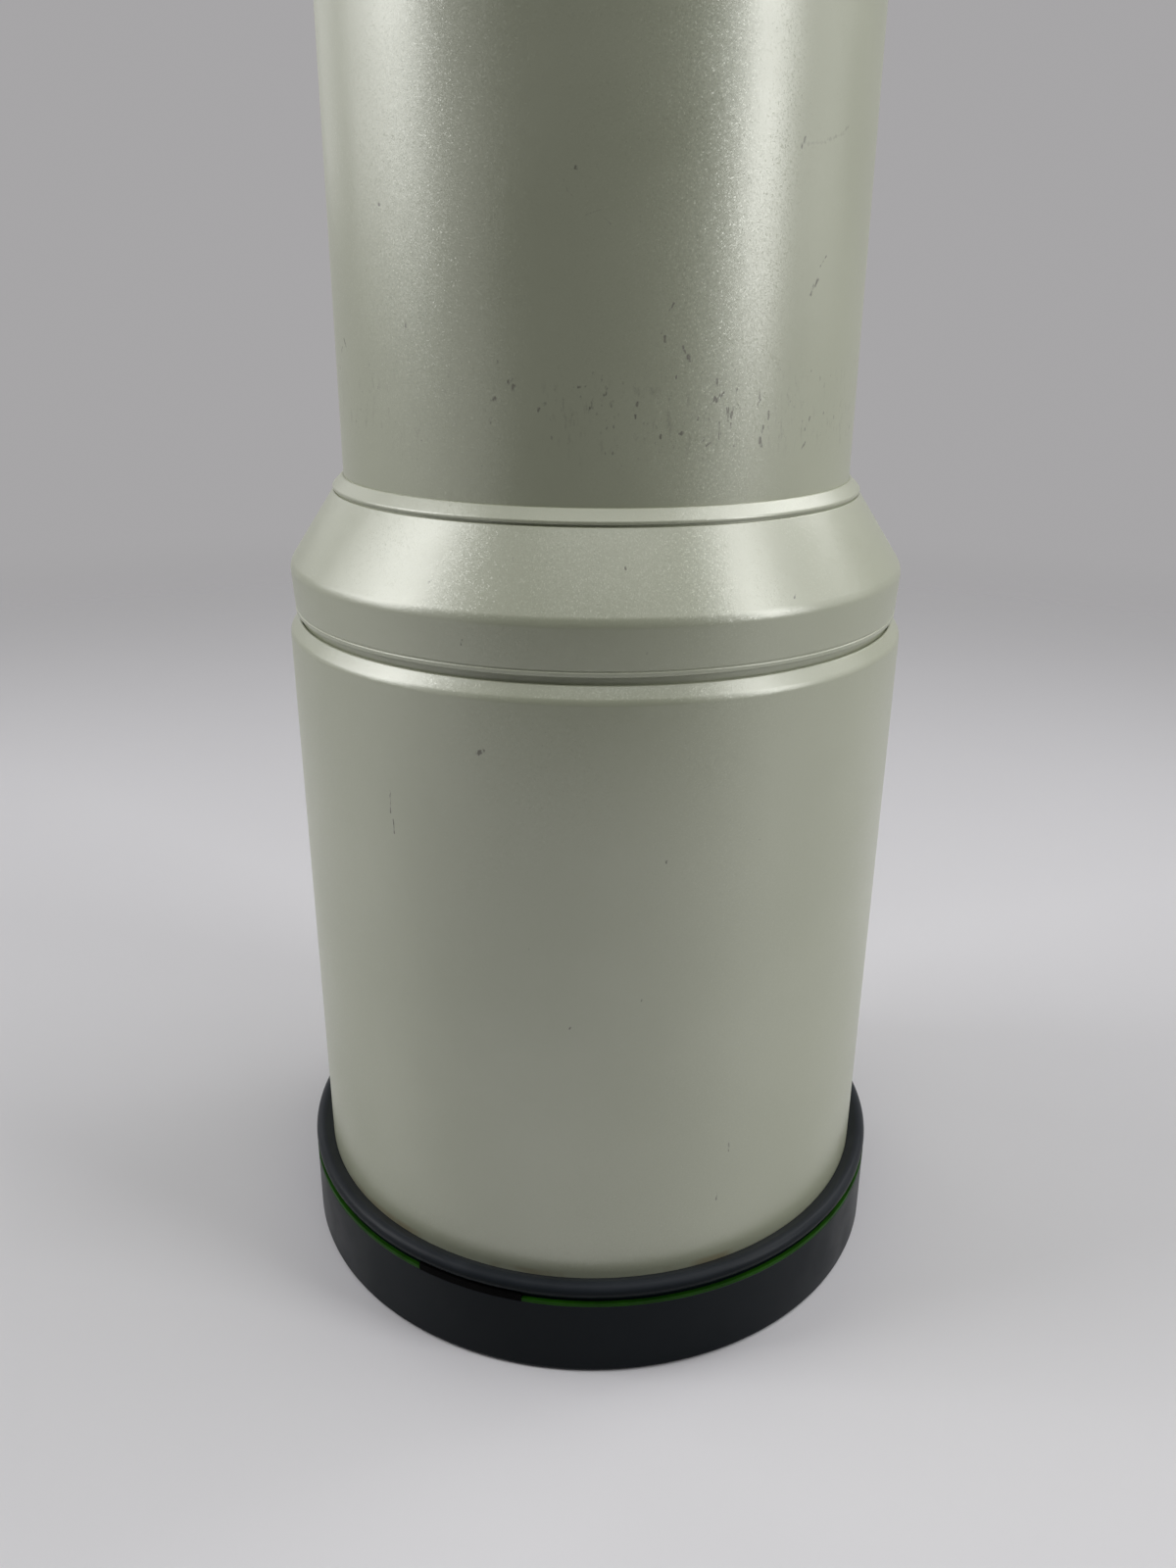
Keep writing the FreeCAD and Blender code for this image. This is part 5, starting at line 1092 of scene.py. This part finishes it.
def collar_marks():
    """A line at each free quarter turn of the tripod collar, and the line they are set to."""
    collar_radius, rear_radius = 54.0, 48.0
    length, width = 4.0, 0.7
    _, _, collar_top = extent("tripod_collar")
    _, rear_low, _ = extent("rear_barrel")
    marks = [line_mark(collar_radius, azimuth, collar_top - length, length, width)
             for azimuth in (-90, 0)]
    add_piece("collar_marks", joined(marks), "tripod_collar", BLACK_MARK)
    fixed = line_mark(rear_radius, -90, rear_low + 3.4, length, width)
    add_piece("collar_index", fixed, "barrel", BLACK_MARK)


def panel_marks():
    """Short white lines beside the stops of the two switches."""
    _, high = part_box("switch_panel")
    length, width, off = 2.0 * MM, 0.4 * MM, 6.4 * MM
    mode_stops, limit_stops = (421.0, 425.0), (445.0, 451.0)
    lines = []
    for height in mode_stops + limit_stops:
        for side in (-1, 1):
            middle = Vector((high.x, side * off, height * MM))
            half = Vector((MARK_RISE * MM / 2, length / 2, width / 2))
            lines.append(block(middle - half, middle + half))
    add_piece("panel_marks", joined(lines), "barrel", WHITE_MARK)


def model_pieces():
    """Every piece that stands in for a CAD part or is added to it."""
    for make in (hood_barrel, hood_ring, flare, collar, tube, front_thread, focus_sleeve, eased_parts,
                 sliders, foot_screws, mount_screws, panel_screws, foot_threads, distance_scale,
                 collar_marks, panel_marks):
        make()


# The camera stands where the photograph was taken from
CAMERA_PLACE = (0.0, -0.25245, 0.1990)
CAMERA_PITCH = 21.287
CAMERA_ROLL = 0.4134
CAMERA_YAW = -0.2653
FOCAL_PIXELS = 1262.74
LONG_SIDE_PIXELS = 1600
SENSOR = 36.0


def photo_camera():
    """The camera of the photograph's view."""
    lens = bpy.data.cameras.new("camera")
    lens.sensor_width = SENSOR
    lens.lens = FOCAL_PIXELS / LONG_SIDE_PIXELS * SENSOR
    lens.clip_start = 0.01
    camera = bpy.data.objects.new("camera", lens)
    bpy.context.scene.collection.objects.link(camera)
    turn = spun(-CAMERA_YAW, "Z") @ spun(90 - CAMERA_PITCH, "X") @ spun(CAMERA_ROLL, "Z")
    camera.matrix_world = Matrix.Translation(CAMERA_PLACE) @ turn
    bpy.context.scene.camera = camera


BACKDROP = (0.385, 0.378, 0.385, 1)
FLOOR_COLOUR = (0.83, 0.82, 0.845, 1)
FLOOR_SHADE = (0.81, 0.80, 0.825, 1)
FLOOR_BOUNCE = (0.44, 0.435, 0.45, 1)
FLOOR_RADIUS = 3.0
FLOOR_FADE_START = 0.26
FLOOR_FADE_END = 0.95
AMBIENT = 0.02


def softbox(name, place, aim, width, height, radiance, spread):
    """A flat soft lamp of a given size that faces a point. The camera doesn't see it."""
    lamp = bpy.data.lights.new(name, "AREA")
    lamp.shape = "RECTANGLE"
    lamp.size = width
    lamp.size_y = height
    lamp.energy = radiance * math.pi * width * height
    lamp.spread = math.radians(spread)
    stand = bpy.data.objects.new(name, lamp)
    stand.location = place
    stand.rotation_euler = (Vector(aim) - Vector(place)).to_track_quat("-Z", "Y").to_euler()
    stand.visible_camera = False
    bpy.context.scene.collection.objects.link(stand)


def light_studio():
    """Tall soft lamps at the sides and behind, one high on the right, and soft boxes overhead
    and in front. Sizes are in metres and spreads in degrees."""
    middle = (0, 0, 0.30)
    softbox("lamp_left", (-0.90, -0.13, 0.74), middle, 0.42, 1.00, 1.76, 120)
    softbox("lamp_left_rear", (-0.88, 0.20, 0.66), middle, 0.42, 0.84, 0.72, 120)
    softbox("lamp_right", (0.81, -0.37, 0.58), middle, 0.30, 0.84, 2.32, 120)
    softbox("lamp_right_rear", (0.90, 0.16, 0.58), middle, 0.40, 0.84, 0.26, 120)
    softbox("lamp_right_high", (0.70, 0.10, 1.14), middle, 0.62, 0.56, 1.50, 140)
    softbox("lamp_back_left", (-0.62, 0.66, 0.74), middle, 0.42, 1.00, 0.28, 120)
    softbox("lamp_back_right", (0.80, 0.50, 0.84), middle, 0.44, 0.50, 1.10, 120)
    softbox("lamp_top", (0.0, 0.10, 1.20), (0, 0, 0), 0.80, 0.80, 0.60, 180)
    softbox("lamp_front", (0.05, -0.50, 1.06), (0, 0, 0.10), 0.70, 0.36, 1.16, 180)


def seen_rays(web):
    """A mask of what is looked at, straight, mirrored or through glass, and not only lights."""
    ray = web.add("ShaderNodeLightPath").outputs
    return web.strongest(ray["Is Camera Ray"], ray["Is Glossy Ray"], ray["Is Transmission Ray"])


def studio_world():
    """A dim even room light, with a plain pale wall where it is seen or mirrored."""
    world = bpy.data.worlds.new("studio")
    bpy.context.scene.world = world
    world.use_nodes = True
    web = NodeWeb(world.node_tree)
    nodes = world.node_tree.nodes
    room = nodes["Background"]
    room.inputs["Color"].default_value = (1, 1, 1, 1)
    room.inputs["Strength"].default_value = AMBIENT
    wall = web.add("ShaderNodeBackground", {"Color": BACKDROP, "Strength": 1.0})
    mixed = web.add("ShaderNodeMixShader")
    for index, value in enumerate((seen_rays(web), room.outputs[0], wall.outputs[0])):
        web.feed(mixed.inputs[index], value)
    web.feed(nodes["World Output"].inputs["Surface"], mixed.outputs[0])


def stage_piece(name, bm, finish):
    """A part of the studio, which isn't part of the lens."""
    added = in_scene(name, bm, finish)
    return added


def table_top():
    """A plain pale table top that fades into the wall, and throws less light than it shows."""
    web = Finish("table top", specular_ior_level=0.25)
    pale = web.blend(web.noise(9, 3.0), FLOOR_COLOUR, FLOOR_SHADE)
    web.show("Base Color", web.blend(seen_rays(web), FLOOR_BOUNCE, pale))
    web.show("Roughness", web.between(web.noise(14, 3.0), 0.3, 0.7, 0.42, 0.50))
    distance = web.vector("LENGTH", web.spot())
    web.show("Alpha", web.between(distance, FLOOR_FADE_START, FLOOR_FADE_END, 1, 0))
    bm = bmesh.new()
    bmesh.ops.create_circle(bm, cap_ends=True, segments=128, radius=FLOOR_RADIUS)
    stage_piece("table_top", bm, web.material)


def dark_curtain():
    """A dark curtain behind the camera, seen only mirrored in the front of the lens."""
    width, height, distance, foot = 0.62, 0.60, 0.36, 0.012
    web = Finish("curtain", specular_ior_level=0.0, roughness=1.0)
    cloth = web.blend(web.noise(12), (0.03, 0.03, 0.03, 1), (0.04, 0.04, 0.04, 1))
    web.show("Base Color", cloth)
    bm = bmesh.new()
    bmesh.ops.create_grid(bm, x_segments=1, y_segments=1, size=0.5)
    place = Matrix.Translation((0, -distance, foot + height / 2))
    bm.transform(place @ spun(90, "X") @ Matrix.Diagonal((width, height, 1, 1)))
    curtain = stage_piece("curtain", bm, web.material)
    curtain.visible_camera = False
    curtain.visible_shadow = False
    curtain.visible_diffuse = False
    curtain.visible_transmission = False


dress_frame()
photo_camera()
model_pieces()
studio_world()
table_top()
dark_curtain()
light_studio()

bpy.context.scene.view_settings.view_transform = "Standard"
